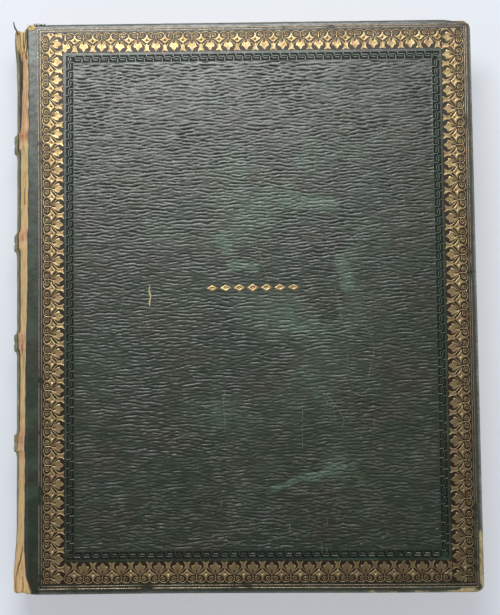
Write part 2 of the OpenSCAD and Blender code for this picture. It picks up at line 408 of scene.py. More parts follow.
def start_material(name, roughness=0.6, **settings):
    """A material with a Principled shader, whose plain numbers are set here."""
    material = bpy.data.materials.new(name)
    material.use_nodes = True
    tree = material.node_tree
    tree.nodes.clear()
    shader = put(tree, "BsdfPrincipled", {"Roughness": roughness})
    for key, value in settings.items():
        shader.inputs[key.replace("_", " ")].default_value = value
    put(tree, "OutputMaterial", {"Surface": shader.outputs[0]})
    return material, tree, shader.inputs


def value_of(tree, name):
    """A value that the piece's points carry."""
    return put(tree, "Attribute", attribute_name=name).outputs["Fac"]


def place_of(tree, made_piece=True):
    """Where a point is on the album at rest, in metres."""
    if made_piece:
        return put(tree, "Attribute", attribute_name="place").outputs["Vector"]
    return put(tree, "TexCoord").outputs["Object"]


def bumped(tree, shader, height, strength, distance):
    """Fine relief in a material, from a height and its depth in metres."""
    inputs = {"Height": height, "Strength": strength, "Distance": distance}
    tree.links.new(put(tree, "Bump", inputs).outputs[0], shader["Normal"])


def rubbing(tree, place, scale, amount, softness):
    """The mask of rubbed patches at one scale."""
    return use_group(tree, RUBBING, Place=place, Scale=scale, Amount=amount, Softness=softness)["Mask"]


def dyed_colour(tree, place, crease):
    """The dyed leather: green with brown and olive clouds, faded places with a painted highlight on the ridge
    tops, creases darkened with painted shade, and dust that also paints sheen and glints.
    """
    brown = rubbing(tree, scaled(tree, place, 0.6, 1, 1), 70.0, 0.52, 0.18)
    olive = rubbing(tree, scaled(tree, place, 1, 0.7, 3), 38.0, 0.5, 0.2)
    colour = mixed(tree, brown, srgb(33, 45, 30), srgb(44, 42, 30))
    colour = mixed(tree, sums(tree, "MULTIPLY", olive, 0.6), colour, srgb(42, 50, 27))
    speckle = grey(tree, scaled(tree, place, 0.4, 1, 1), 700.0, 3.0)
    spots = ranged(tree, speckle, 0.3, 0.65, 0.45, 1.0)
    # The rub colour also paints a highlight along the ridge tops
    rub_and_sheen_share = sums(tree, "MULTIPLY", value_of(tree, "rub"), spots, clamp=True)
    colour = mixed(tree, rub_and_sheen_share, colour, srgb(84, 108, 88))
    # Painted shade: the creases are darkened to near black
    colour = mixed(tree, sums(tree, "MULTIPLY", crease, 0.75), colour, srgb(12, 15, 12))
    colour = mixed(tree, value_of(tree, "pressed"), colour, srgb(38, 28, 17))
    # Pale dust colour, which also paints sheen on the cover's edges and glints on the fret
    dust_and_sheen_share = sums(tree, "MULTIPLY", value_of(tree, "dusty"), ranged(tree, speckle, 0.3, 0.6, 0.5, 1.0))
    return mixed(tree, dust_and_sheen_share, colour, srgb(150, 148, 142))


def bare_colour(tree, place, worn):
    """Leather that has lost its dye: grey-green at first, then streaky flesh in the tone of its points."""
    flesh = ramp(tree, value_of(tree, "tone"), (0.0, (200, 182, 132)), (0.28, (228, 188, 130)),
                 (0.5, (210, 163, 126)), (1.0, (178, 112, 66)))
    blotch = grey(tree, scaled(tree, place, 1, 0.35, 1), 420.0, 4.0, 0.65)
    flesh = mixed(tree, ranged(tree, blotch, 0.5, 0.8, 0.0, 0.6), flesh, srgb(226, 206, 176))
    bare = ramp(tree, worn, (0.0, (30, 44, 32)), (0.3, (100, 108, 84)), (0.5, (154, 146, 112)),
                (0.62, (186, 166, 124)))
    bare = mixed(tree, ranged(tree, worn, 0.5, 0.72), bare, flesh)
    streaks = grey(tree, scaled(tree, place, 1, 0.1, 1), 1300.0, 4.0, 0.7)
    bare = mixed(tree, ranged(tree, streaks, 0.5, 0.66, 0.0, 0.65), bare, srgb(126, 84, 52))
    return mixed(tree, ranged(tree, streaks, 0.44, 0.3, 0.0, 0.5), bare, srgb(232, 214, 190))


def leather_polish(tree, place, crease):
    """The gloss of handling: in flecks on the ridges, with little where the leather is dull or pressed."""
    flecks = ranged(tree, grey(tree, scaled(tree, place, 0.45, 1, 1), 750.0, 3.0), 0.35, 0.6, 0.5, 1.0)
    polish = sums(tree, "MULTIPLY", blended(tree, crease, 1.0, 0.1), flecks)
    pressed = sums(tree, "MULTIPLY", value_of(tree, "pressed"), 0.78)
    matt = sums(tree, "MAXIMUM", value_of(tree, "dull"), pressed)
    return blended(tree, matt, polish, 0.1)


def covering_leather():
    """Green straight-grained goatskin: creases darkened with painted shade, faded patches, and tan where it
    is worn through.
    """
    material, tree, shader = start_material("green leather", 0.4, Specular_IOR_Level=0.2,
                                            Coat_Roughness=0.33, Coat_IOR=1.62)
    place = place_of(tree)
    fine = use_group(tree, FINE_GRAIN, Place=place, Wrinkles=1100.0, Length=3.5)
    crease = value_of(tree, "crease")
    worn = use_group(tree, WEAR, Place=place, Wear=value_of(tree, "worn"), Scale=800.0, Ragged=0.45)["Mask"]
    show = ranged(tree, worn, 0.12, 0.3)
    colour = mixed(tree, show, dyed_colour(tree, place, crease), bare_colour(tree, place, worn))
    # The splits' dark brown is partly painted shade
    colour = mixed(tree, value_of(tree, "crack"), colour, srgb(74, 42, 20))
    tree.links.new(colour, shader["Base Color"])
    rough = blended(tree, crease, ranged(tree, fine["Height"], 0.2, 0.9, 0.36, 0.46), 0.7)
    tree.links.new(blended(tree, show, rough, 0.85), shader["Roughness"])
    tree.links.new(blended(tree, show, leather_polish(tree, place, crease), 0.0), shader["Coat Weight"])
    bumped(tree, shader, fine["Height"], 0.22, 0.00012)
    return material


def gold(name, bright, dull, worn_amount, scale):
    """Gold leaf in the tooling: dulled, darkened in its hollows by painted shade with some dirt, rubbed away
    in patches, and darker toward tail and fore-edge.
    """
    material, tree, shader = start_material(name, 0.36, Metallic=1.0)
    place = place_of(tree)
    tarnish = grey(tree, place, 260.0, 4.0, 0.6)
    where = put(tree, "SeparateXYZ", {0: place}).outputs
    colour = mixed(tree, ranged(tree, tarnish, 0.35, 0.68), bright, dull)
    tint = grey(tree, place, 190.0, 2.0)
    colour = mixed(tree, ranged(tree, tint, 0.5, 0.62, 0.0, 0.35), colour, srgb(196, 150, 128))
    worn_and_shaded = rubbing(tree, place, scale, worn_amount, 0.08)
    toward_tail = ranged(tree, where[1], 0.1, -0.14, 0.0, 0.46)
    toward_fore_edge = ranged(tree, where[0], -0.04, 0.1, 0.0, 0.2)
    everywhere = sums(tree, "ADD", toward_tail, toward_fore_edge)
    # Painted shade with some dirt: at the feet of the strokes and in the dished hollows
    dirt = sums(tree, "MULTIPLY", value_of(tree, "dirt"), 0.85)
    kept = 1.0
    for loss in (worn_and_shaded, everywhere, dirt):
        kept = sums(tree, "MULTIPLY", kept, sums(tree, "SUBTRACT", 1.0, loss))
    worn_and_shaded = sums(tree, "SUBTRACT", 1.0, kept, clamp=True)
    colour = mixed(tree, worn_and_shaded, colour, srgb(42, 30, 17))
    tree.links.new(colour, shader["Base Color"])
    tree.links.new(blended(tree, worn_and_shaded, 1.0, 0.2), shader["Metallic"])
    tree.links.new(ranged(tree, tarnish, 0.3, 0.7, 0.36, 0.48), shader["Roughness"])
    bumped(tree, shader, grey(tree, place, 1800.0, 2.0), 0.35, 0.0001)
    return material


def paper(name, made_piece):
    """Album paper with clouds, fibres and a little foxing; on the CAD's leaves it has gilt cut edges."""
    light, dark = srgb(238, 228, 204), srgb(222, 208, 178)
    material, tree, shader = start_material(name, 0.8, Specular_IOR_Level=0.3)
    place = place_of(tree, made_piece)
    fibres = use_group(tree, FIBRES, Place=place, Scale=500.0, Depth=0.6)
    colour = mixed(tree, ranged(tree, fibres["Tone"], 0.3, 0.7), dark, light)
    foxing = rubbing(tree, place, 150.0, 0.3, 0.06)
    colour = mixed(tree, sums(tree, "MULTIPLY", foxing, 0.5), colour, srgb(176, 130, 84))
    if not made_piece:
        upright = put(tree, "SeparateXYZ", {0: put(tree, "TexCoord").outputs["Normal"]}).outputs[2]
        edge = ranged(tree, sums(tree, "ABSOLUTE", upright), 0.5, 0.4)
        colour = mixed(tree, edge, colour, srgb(212, 172, 104))
        tree.links.new(edge, shader["Metallic"])
        tree.links.new(blended(tree, edge, 0.8, 0.34), shader["Roughness"])
    tree.links.new(colour, shader["Base Color"])
    bumped(tree, shader, fibres["Height"], 0.25, 0.00008)
    return material


def edge_gilding():
    """Burnished gold on the cut edges of the leaves, with fine streaks from leaf to leaf."""
    material, tree, shader = start_material("gilt edges", 0.34, Metallic=1.0)
    place = place_of(tree)
    streaks = grey(tree, scaled(tree, place, 0.2, 0.2, 6), 900.0, 3.0)
    colour = mixed(tree, ranged(tree, streaks, 0.3, 0.7), srgb(226, 186, 116), srgb(170, 124, 62))
    worn_and_shaded = rubbing(tree, place, 90.0, 0.36, 0.1)
    colour = mixed(tree, worn_and_shaded, colour, srgb(190, 168, 130))
    tree.links.new(colour, shader["Base Color"])
    tree.links.new(blended(tree, worn_and_shaded, 1.0, 0.3), shader["Metallic"])
    bumped(tree, shader, streaks, 0.4, 0.0001)
    return material


def marbled_paper():
    """Combed marbling in red, blue and cream veins, for the pasted-down and free endpapers."""
    material, tree, shader = start_material("marbled paper", 0.42, Specular_IOR_Level=0.5)
    place = place_of(tree, False)
    drift = put(tree, "TexNoise", {"Vector": place, "Scale": 45.0, "Detail": 3.0}).outputs[1]
    moved = scaled(tree, drift, 0.02, 0.02, 0.0)
    place_moved = put(tree, "VectorMath", {0: place, 1: moved}, operation="ADD").outputs[0]
    drops = {"Vector": place_moved, "Scale": 130.0}
    spots = put(tree, "TexVoronoi", drops, feature="DISTANCE_TO_EDGE").outputs[0]
    cells = put(tree, "TexVoronoi", drops, feature="F1").outputs[1]
    pick = put(tree, "SeparateColor", {0: cells}).outputs[0]
    colour = ramp(tree, pick, (0.0, (118, 34, 30)), (0.34, (142, 58, 40)), (0.5, (46, 66, 92)),
                  (0.7, (156, 120, 62)), (0.9, (96, 30, 28)))
    vein = ranged(tree, spots, 0.03, 0.09)
    colour = mixed(tree, vein, srgb(214, 200, 168), colour)
    fibres = use_group(tree, FIBRES, Place=place, Scale=500.0, Depth=0.4)
    colour = mixed(tree, sums(tree, "MULTIPLY", fibres["Tone"], 0.3), colour, srgb(120, 100, 80))
    tree.links.new(colour, shader["Base Color"])
    bumped(tree, shader, fibres["Height"], 0.15, 0.00006)
    return material


def fibrous(name, light, dark, scale):
    """Board and drab paper."""
    material, tree, shader = start_material(name, 0.85, Specular_IOR_Level=0.25)
    fibres = use_group(tree, FIBRES, Place=place_of(tree, False), Scale=scale, Depth=1.0)
    tree.links.new(mixed(tree, ranged(tree, fibres["Tone"], 0.3, 0.7), dark, light), shader["Base Color"])
    bumped(tree, shader, fibres["Height"], 0.5, 0.0002)
    return material


def woven(name, light, dark, threads):
    """Plain woven linen."""
    material, tree, shader = start_material(name, 0.85, Specular_IOR_Level=0.2)
    place = place_of(tree, False)
    weave = use_group(tree, WEAVE, Place=place, Threads=threads)
    colour = mixed(tree, ranged(tree, grey(tree, place, 300.0), 0.3, 0.7), dark, light)
    shade = put(tree, "CombineColor", {channel: weave["Shade"] for channel in range(3)}).outputs[0]
    tree.links.new(mixed(tree, 1.0, colour, shade, "MULTIPLY"), shader["Base Color"])
    bumped(tree, shader, weave["Height"], 0.6, 0.00015)
    return material


def twisted(name, light, dark, turns):
    """Laid cord or thread, with its strands running slantwise."""
    material, tree, shader = start_material(name, 0.8, Specular_IOR_Level=0.25)
    place = place_of(tree, False)
    slant = put(tree, "SeparateXYZ", {0: place}).outputs
    lay = sums(tree, "SINE", sums(tree, "MULTIPLY", sums(tree, "ADD", slant[1], slant[2]), turns))
    # Painted shade: darker where the strands dip, in step with the bump
    colour = mixed(tree, ranged(tree, lay, -1.0, 1.0), dark, light)
    tree.links.new(colour, shader["Base Color"])
    bumped(tree, shader, sums(tree, "ADD", lay, grey(tree, place, 2500.0)), 0.5, 0.0002)
    return material


def wound_silk():
    """Silk of two colours wound over the core of a head or tail band."""
    material, tree, shader = start_material("wound silk", 0.45, Sheen_Weight=0.4)
    place = place_of(tree)
    stripe = value_of(tree, "stripe")
    colour = mixed(tree, ranged(tree, stripe, 0.45, 0.55), srgb(128, 40, 38), srgb(196, 176, 128))
    dirt = grey(tree, place, 250.0)
    colour = mixed(tree, ranged(tree, dirt, 0.45, 0.8, 0.0, 0.5), colour, srgb(84, 66, 48))
    tree.links.new(colour, shader["Base Color"])
    bumped(tree, shader, grey(tree, place, 3000.0), 0.3, 0.0001)
    return material


LEATHER = covering_leather()
GOLD = gold("gold tooling", srgb(229, 203, 147), srgb(174, 144, 98), 0.33, 60.0)
LINE_GOLD = gold("gold lines", srgb(192, 177, 152), srgb(150, 135, 114), 0.44, 45.0)
INNER_PAPER = paper("inner album paper", True)
CAD_PAPER = paper("leaf paper", False)
EDGE_GOLD = edge_gilding()
MARBLED = marbled_paper()
MILLBOARD = fibrous("millboard", srgb(150, 124, 90), srgb(112, 88, 60), 300.0)
DRAB = fibrous("drab paper", srgb(168, 150, 118), srgb(140, 120, 90), 600.0)
LINEN = woven("linen lining", srgb(206, 192, 160), srgb(170, 152, 118), 9000.0)
HEMP = twisted("hemp cord", srgb(190, 158, 108), srgb(128, 98, 60), 5000.0)
THREAD = twisted("linen thread", srgb(226, 216, 192), srgb(176, 160, 130), 9000.0)
SILK = wound_silk()


# The cover's leather, with the bands that the tooling presses into it

def straight_grain(rows, cols, row_step, col_step, wave, seed):
    """Creases of straight grain: lines along X, about one wave apart, that wander, merge and end."""
    rng = np.random.default_rng(seed)
    down = np.fft.fftfreq(rows, row_step)[:, None]
    along = np.fft.fftfreq(cols, col_step)[None, :]
    passed = np.exp(-((down - 1 / wave) / (0.45 / wave)) ** 2 - (along / 0.24) ** 2)
    waves = np.fft.ifft2(np.fft.fft2(rng.standard_normal((rows, cols))) * passed)
    strength = np.abs(waves) / np.abs(waves).mean()
    return np.angle(waves), strength


# Patches of the front that are faded to a lighter green: x, y, half length, half height, strength
FADED = [
    (12, 66, 22, 26, 0.75), (48, 88, 12, 20, 0.5), (28, -8, 26, 10, 0.6), (52, -84, 34, 8, 0.6),
    (-6, 20, 14, 30, 0.35), (60, 20, 12, 30, 0.35), (-40, 36, 24, 12, 0.3), (76, 60, 8, 26, 0.25),
    (-12, -56, 16, 8, 0.35), (8, 108, 30, 10, 0.25), (34, -40, 20, 14, 0.3)]


def faded(x, y):
    """How far the front's leather is faded, in broken patches."""
    total = np.zeros(np.shape(x))
    for sx, sy, half_x, half_y, strength in FADED:
        reach = ((x - sx) / half_x) ** 2 + ((y - sy) / half_y) ** 2
        total += strength * np.exp(-reach)
    broken = smooth(rough_noise(x, y * 0.6, 11, 31), -0.35, 0.55)
    return np.clip(total * broken * 1.25 + 0.1 * smooth(rough_noise(x, y, 30, 33), 0, 0.8), 0, 1)


# Scuffs that leave the front paler: half height, then the points that each one runs through
SCUFFS = [
    (2.0, [(14, -93.5), (18.2, -92.5), (28, -88.5), (37.2, -87.3), (44.3, -82.9), (50, -83)]),
    (4.5, [(50, 21), (54, 12), (53, 8)]),
    (5.0, [(-10, 33), (-8, 28)]),
    (3.5, [(-6, 19), (6, 18)]),
    (5.0, [(23, 52), (45, 49.5)]),
    (3.6, [(26, -12.5), (32, -14.5)])]


def scuffs(x, y):
    """How far the front is scuffed, with ragged edges."""
    ragged = rough_noise(x, y * 2, 4, 35)
    total = np.zeros(np.shape(x))
    for half_height, line in SCUFFS:
        near = line_distance(x, y, line) + 0.35 * half_height * ragged
        total = np.maximum(total, 0.9 * smooth(near, half_height, 0.45 * half_height))
    return total


def rectangle(inset):
    """x0, x1, y0 and y1 of the rectangle that lies in by (joint, fore-edge, head, tail)."""
    return JOINT + inset[0], FORE - inset[1], -HEAD + inset[3], HEAD - inset[2]


# The grain: mm from ridge to ridge, and how far the panel lies below the margin round it
GRAIN_WAVE = 1.85
PANEL_SUNK = 0.02


def leather_panel(side, turned):
    """The grained field inside the tooling, in a head half and a tail half; the back's has fewer points."""
    row_step, col_step = (0.36, 1.9) if turned else (0.27, 0.9)
    x0, x1, y0, y1 = rectangle(PANEL)
    rows, cols = int((y1 - y0) / row_step) + 1, int((x1 - x0) / col_step) + 1
    y, x = np.meshgrid(np.linspace(y0, y1, rows), np.linspace(x0, x1, cols), indexing="ij")
    phase, strength = straight_grain(rows, cols, row_step, col_step, GRAIN_WAVE, 5 if turned else 3)
    uneven = 0.8 + 0.35 * noise(x, y, 9, 7) + 0.3 * noise(x, y * 2, 3, 8)
    deep = np.clip(1.2 * strength - 0.35, 0, 1.3) * uneven
    crease = np.exp(-(phase / 0.95) ** 2) * deep
    ridge = 0.5 - 0.5 * np.cos(phase)
    inside = np.minimum.reduce([x - x0, x1 - x, y - y0, y1 - y])
    settle = smooth(inside, 0, 1.2)
    z = TOP + settle * (0.02 * ridge - 0.15 * crease
                        + 0.05 * noise(x, y, 25, 9) + 0.04 * noise(x, y * 2, 7, 11)) - PANEL_SUNK
    if turned:
        rub = 0.5 * smooth(rough_noise(x, y, 40, 51), 0.05, 0.8)
    else:
        under_ornament = (smooth(np.abs(y - ORNAMENT[1]), 4.0, 2.4)
                          * smooth(np.abs(x - ORNAMENT[0]), ORNAMENT_W / 2 + 3, ORNAMENT_W / 2))
        z = z + (TOP - PANEL_SUNK - z) * 0.7 * under_ornament
        rub = np.maximum(faded(x, y), scuffs(x, y))
    # Ridge tops are made paler, more toward the tail, and faded patches more on the ridges: rub and dust, and
    # partly a painted highlight
    top_of_ridge = smooth(ridge, 0.74, 1.0) * smooth(rough_noise(x, y * 3, 6, 13), -0.6, 0.5) * settle
    rub = np.clip(rub * (0.6 + 0.4 * ridge) + 0.1 * top_of_ridge, 0, 1)
    dusty = (0.1 + 0.2 * smooth(-y, -40, 90)) * top_of_ridge
    half = rows // 2
    for part, span in (("tail", slice(0, half + 1)), ("head", slice(half, rows))):
        shape = Shape()
        grid = np.stack([x, y, z], -1)[span]
        shape.add_grid(grid, crease=np.clip(crease * settle, 0, 1)[span], rub=rub[span], dusty=dusty[span])
        replaced = [f"{side}_cover_leather"] if part == "tail" else []
        shape.make(f"{side}_grain_{part}", f"{side}_cover", "green_leather", LEATHER,
                   turned=turned, replaces=replaced)


# A cover's edge in section, from the turned-in leather's end to the flat of the outside:
# the distance in from the edge, and the share of the cover's thickness below the outside
EDGE = [(TURN_IN, 1.0), (8.0, 1.0), (1.7, 1.0), (0.7, 0.98), (0.2, 0.88), (0.0, 0.7),
        (0.0, 0.34), (0.15, 0.18), (0.5, 0.07), (1.0, 0.02), (1.6, 0.0), (2.4, 0.0)]


def edge_path(inset, radii, joint_side):
    """Points round a cover's head, fore-edge and tail, at an inset; radii are its head and tail corner's."""
    x1, y1 = FORE - inset, HEAD - inset
    turn = np.radians(np.linspace(90, 0, 11)[1:-1])
    ends = []
    for radius in radii:
        along = np.linspace(joint_side, x1 - radius, 110)
        corner = np.stack([x1 - radius + radius * np.cos(turn), y1 - radius + radius * np.sin(turn)], -1)
        ends.append(np.concatenate([np.stack([along, np.full(len(along), y1)], -1), corner]))
    down = np.linspace(y1 - radii[0], -y1 + radii[1], 150)
    fore = np.stack([np.full(len(down), x1), down], -1)
    return np.concatenate([ends[0], fore, ends[1][::-1] * (1, -1)])


def edge_wear(x, y, inset, turned):
    """Wear along a cover's edges: most at the lower fore-edge and the tail."""
    low_fore = smooth(-y, 109, 119) * smooth(-y, 141.5, 139.5) * smooth(x, FORE - 6, FORE - 3)
    tail = smooth(-y, HEAD - 6, HEAD - 3) * smooth(x, 20, 70)
    by_corner = smooth(-y, HEAD - 6, HEAD - 3) * smooth(np.abs(x - 111), 5, 3)
    corner = smooth(np.hypot(x - FORE, np.abs(y) - HEAD), 12, 5)
    if turned:
        low_fore, tail, by_corner = 0 * x, 0 * x, 0.8 * corner
    ragged = rough_noise(x + inset * 2, y - inset * 2, 2.6, 41)
    head_fray = 0.36 * smooth(y, 143.2, 144.0) * smooth(np.abs(x - JOINT - 7), 5, 3.5)
    everywhere = 0.34 * smooth(ragged + 0.6 * rough_noise(x, y, 19, 43), 0.15, 0.6)
    reach = 0.5 + 1.5 * low_fore + 0.5 * tail + 1.6 * by_corner
    strength = np.maximum.reduce([0.54 * low_fore, 0.56 * tail * smooth(ragged, -0.7, 0.0),
                                  0.6 * by_corner, everywhere, head_fray])
    near_edge = smooth(reach - inset + 0.35 * ragged, -0.25, 0.35)
    return np.clip(strength * (1 + 0.3 * ragged) * near_edge, 0, 1)


def border_loop(inset, per_side=60):
    """Points round the rectangle at that inset, anticlockwise."""
    x0, x1, y0, y1 = rectangle(inset)
    corners = np.array([(x0, y0), (x1, y0), (x1, y1), (x0, y1), (x0, y0)])
    step = np.linspace(0, 1, per_side, endpoint=False)[:, None]
    return np.concatenate([a + (b - a) * step for a, b in zip(corners[:-1], corners[1:])])


def add_edges(shape, turned):
    """The rounded edges of a cover and the turned-in leather, with dust that also paints their sheen, and
    wear on the outer half.
    """
    loops, worn = [], []
    for inset, depth in EDGE:
        head_corner = CORNER_R if turned else BUMPED_CORNER_R
        radii = [max(r - 0.41 * r * inset, 0.05) for r in (head_corner, CORNER_R)]
        path = edge_path(inset, radii, JOINT + OUTER_LINE[0])
        dent = 0.1 * rough_noise(path[:, 0], path[:, 1], 6, 61) * (0.02 < depth < 0.98)
        z = np.full((len(path), 1), TOP - depth * COVER_T) + dent[:, None]
        loops.append(np.hstack([path, z]))
        worn.append(edge_wear(path[:, 0], path[:, 1], inset, turned) * (depth <= 0.5))
    grid = np.stack(loops)
    # Pale dust on the rounded edges also stands in for their sheen: painted sheen, most at the fore-edge,
    # least at the tail
    by_depth = np.interp([depth for _, depth in EDGE], [0, 0.02, 0.07, 0.7, 0.9], [0.12, 0.5, 0.9, 0.9, 0.3])
    at_head = smooth(grid[..., 1], HEAD - 4, HEAD - 1)
    at_tail = smooth(-grid[..., 1], HEAD - 4, HEAD - 1)
    at_fore = smooth(grid[..., 0], FORE - 4, FORE - 1)
    patchy = smooth(rough_noise(grid[..., 0], grid[..., 1], 8, 63), -0.5, 0.4)
    dusty = by_depth[:, None] * (0.36 - 0.14 * at_head - 0.26 * at_tail + 0.32 * at_fore + 0.35 * patchy)
    shape.add_grid(grid, flip=True, worn=np.stack(worn), dusty=np.clip(dusty, 0, 1))


# Width over which the side of a sunk line slopes down
SLOPE = 0.08
OUTER_END, INNER_END, FRET_IN = OUTER_LINE + LINE_W, INNER_LINE + LINE_W, FRET_OUT + FRET_W
# The sunk bands of the tooling, ring by ring: inset, depth, and how dark the tool has pressed the leather
RINGS = [
    (OUTER_LINE, 0, 0), (OUTER_LINE + SLOPE, LINE_DEPTH, 0.5),
    (OUTER_END - SLOPE, LINE_DEPTH, 0.5), (OUTER_END, 0, 0.5),
    (INNER_LINE, 0, 0.5), (INNER_LINE + SLOPE, LINE_DEPTH, 0.5),
    (INNER_END - SLOPE, LINE_DEPTH, 0.5), (INNER_END, 0, 0.5),
    (ROLL_OUT - SLOPE, 0, 0.6), (ROLL_OUT, ROLL_DEPTH, 1),
    (ROLL_IN, ROLL_DEPTH, 1), (ROLL_IN + 0.15, 0, 0),
    (FRET_OUT - 0.1, 0, 0), (FRET_OUT, FRET_DEPTH, 0),
    (FRET_IN, FRET_DEPTH, 0), (FRET_IN + 0.1, 0, 0), (PANEL, PANEL_SUNK, 0)]


def add_sunk_bands(shape):
    """The leather between a cover's edges and its grained panel, pressed down under the tooling."""
    loops, pressed = [], []
    for inset, depth, press in RINGS:
        path = border_loop(inset)
        loops.append(np.hstack([path, np.full((len(path), 1), TOP - depth)]))
        pressed.append([press])
    # The fret's sunk floor takes the creases' dark colour: blind tooling darkened by heat, and painted shade
    # in the narrow groove
    in_fret = [[depth == FRET_DEPTH] for _, depth, _ in RINGS]
    grid = np.stack(loops)
    rub = 0.35 * smooth(rough_noise(grid[..., 0], grid[..., 1], 11, 65), 0.0, 0.7) * (np.array(pressed) < 0.9)
    shape.add_grid(grid, closed=True, rounded=False, pressed=pressed, crease=in_fret, rub=rub)


def leather_margin(side, turned):
    """The leather outside the grained panel: edges, turned-in leather and the sunk bands of the tooling."""
    shape = Shape()
    add_edges(shape, turned)
    add_sunk_bands(shape)
    shape.make(f"{side}_leather_margin", f"{side}_cover", "green_leather", LEATHER, turned=turned)


# Tooling: each motif is drawn once in border coordinates,
# with s along the border and t in from the roll's outer side

def stroke(line, width, height=0.16, foot=-0.06):
    """A low ribbon with bevelled sides along a line of (s, t) points, as a grid of (s, t, z)."""
    line = np.asarray(line, float)
    width = np.interp(np.linspace(0, 1, len(line)), np.linspace(0, 1, len(width)), width)
    run = np.gradient(line, axis=0)
    run /= np.linalg.norm(run, axis=1, keepdims=True)
    side = np.stack([-run[:, 1], run[:, 0]], -1)
    across = np.array([1, 0.66, -0.66, -1])
    rise = np.array([foot, height, height, foot])
    flat = line[:, None, :] + side[:, None, :] * across[None, :, None] * width[:, None, None] / 2
    z = np.broadcast_to(rise, (len(line), 4)) * np.clip(width / 0.3, 0.3, 1)[:, None]
    return np.concatenate([flat, z[:, :, None]], -1)


def curve(points, count):
    """A smooth line through the given points."""
    points = np.asarray(points, float)
    t = np.arange(len(points))
    fine = np.linspace(0, len(points) - 1, count)
    slopes = np.gradient(points, axis=0)
    i = np.clip(fine.astype(int), 0, len(points) - 2)
    f = (fine - t[i])[:, None]
    a, b, da, db = points[i], points[i + 1], slopes[i], slopes[i + 1]
    from_a = (2 * f**3 - 3 * f**2 + 1) * a + (f**3 - 2 * f**2 + f) * da
    return from_a + (3 * f**2 - 2 * f**3) * b + (f**3 - f**2) * db


# Middle of a volute as (s, t), and the t of the star's hole
VOLUTE = (1.8, 1.87)
STAR_T = 4.9


def volute():
    """The scroll at the foot of a palmette, on its right."""
    turn = np.linspace(0, 1, 26)
    angle = math.radians(150) - turn * 1.6 * 2 * math.pi
    radius = 1.36 * (1 - turn) + 0.22 * turn
    line = np.stack([VOLUTE[0] + radius * np.cos(angle), VOLUTE[1] + radius * np.sin(angle)], -1)
    return [stroke(line, [0.32, 0.38, 0.34, 0.3, 0.28, 0.36])]


def scallop():
    """The line that runs round the outside of a volute, from the star to the palmette's axis."""
    line = [(4.25, 1.1), (3.6, 0.42), (2.7, 0.14), (1.8, 0.12), (1.0, 0.35), (0.42, 0.8), (0, 1.15)]
    return [stroke(curve(line, 12), [0.46, 0.44, 0.4, 0.42], 0.13)]


def strand():
    """The line that flows from a palmette's foot round its lobe, and edges the fan beyond."""
    line = [(0.75, 4.3), (1.6, 5.4), (2.45, 6.35), (3.2, 7.1), (3.68, 8.0), (3.78, 9.0), (3.5, 10.0),
            (2.95, 11.0)]
    return [stroke(curve(line, 15), [0.26, 0.42, 0.46, 0.5, 0.5, 0.62], 0.15)]


def half_plate(outer, inner, slit=()):
    """Half of a solid leaf, from its edge over a rim to a dished middle; slit lists points with a gap."""
    outer, inner = np.asarray(outer, float), np.asarray(inner, float)
    middle = np.full(len(outer), 0.12)
    middle[list(slit)] = -0.06
    rows = [(0.0, -0.06), (0.1, 0.14), (0.28, 0.15), (0.42, 0.11), (0.8, 0.12), (1.0, middle)]
    return np.stack([np.column_stack([outer + (inner - outer) * share, np.broadcast_to(z, len(outer))])
                     for share, z in rows])


def half_palmette():
    """Half of the lobed leaf on a palmette's axis."""
    outer = [(0.12, 3.9), (0.5, 4.6), (1.05, 5.4), (1.75, 6.4), (2.4, 7.5), (2.62, 8.3),
             (2.4, 8.85), (1.75, 8.8), (1.2, 8.95), (1.0, 9.5), (0.6, 10.2), (0, 10.95)]
    inner = [(0.02, 4.0), (0.12, 4.7), (0.28, 5.5), (0.26, 6.1), (0.05, 6.7), (0, 7.2),
             (0, 7.7), (0, 8.2), (0, 8.7), (0, 9.3), (0, 10.0), (0, 10.9)]
    return [half_plate(outer, inner, (1, 2, 3))]


def half_fan():
    """Half of the leaf that spreads above each star, between two palmettes."""
    outer = [(0.15, 6.75), (0.72, 7.3), (0.82, 8.2), (0.8, 9.2), (0.95, 10.1), (1.4, 11.0)]
    inner = [(0, 6.8), (0, 7.3), (0, 8.2), (0, 9.2), (0, 10.1), (0, 10.5)]
    return [half_plate(outer, inner)]


def star():
    """The four-armed star between two palmettes, as a ring round its hole, about its own axis."""
    half = np.array([
        (0, 1.0), (0.38, 1.05), (0.4, 1.9), (0.6, 2.6), (1.0, 3.2), (1.55, 3.62), (2.2, 3.82), (2.9, 3.82),
        (3.5, 3.75), (3.55, 3.95), (2.7, 4.55), (1.9, 5.1), (1.2, 5.65), (0.7, 6.2), (0, 6.8)])
    outline = np.concatenate([half, (half * (-1, 1))[-2:0:-1]])
    ray = outline - (0, STAR_T)
    unit = ray / np.linalg.norm(ray, axis=1, keepdims=True)
    rings = [(unit * 0.3, -0.06), (unit * 0.42, 0.13), (ray * 0.5 + unit * 0.2, 0.12), (ray * 0.86, 0.13),
             (ray, -0.05)]
    return np.stack([np.column_stack([flat + (0, STAR_T), np.full(len(flat), z)]) for flat, z in rings])


def right_half():
    """What stands on the right of a palmette's axis and is mirrored on its left."""
    return volute() + scallop() + strand() + half_palmette()


def foot():
    """The short line on a palmette's axis, between its two volutes."""
    return [stroke([(0, 1.0), (0, 1.7), (0, 2.5), (0, 3.3), (0, 4.0)], [0.56, 0.42, 0.56], 0.15)]


def mirrored(grids):
    """The same grids on the other side of the axis."""
    return [grid[:, ::-1] * (-1, 1, 1) for grid in grids]


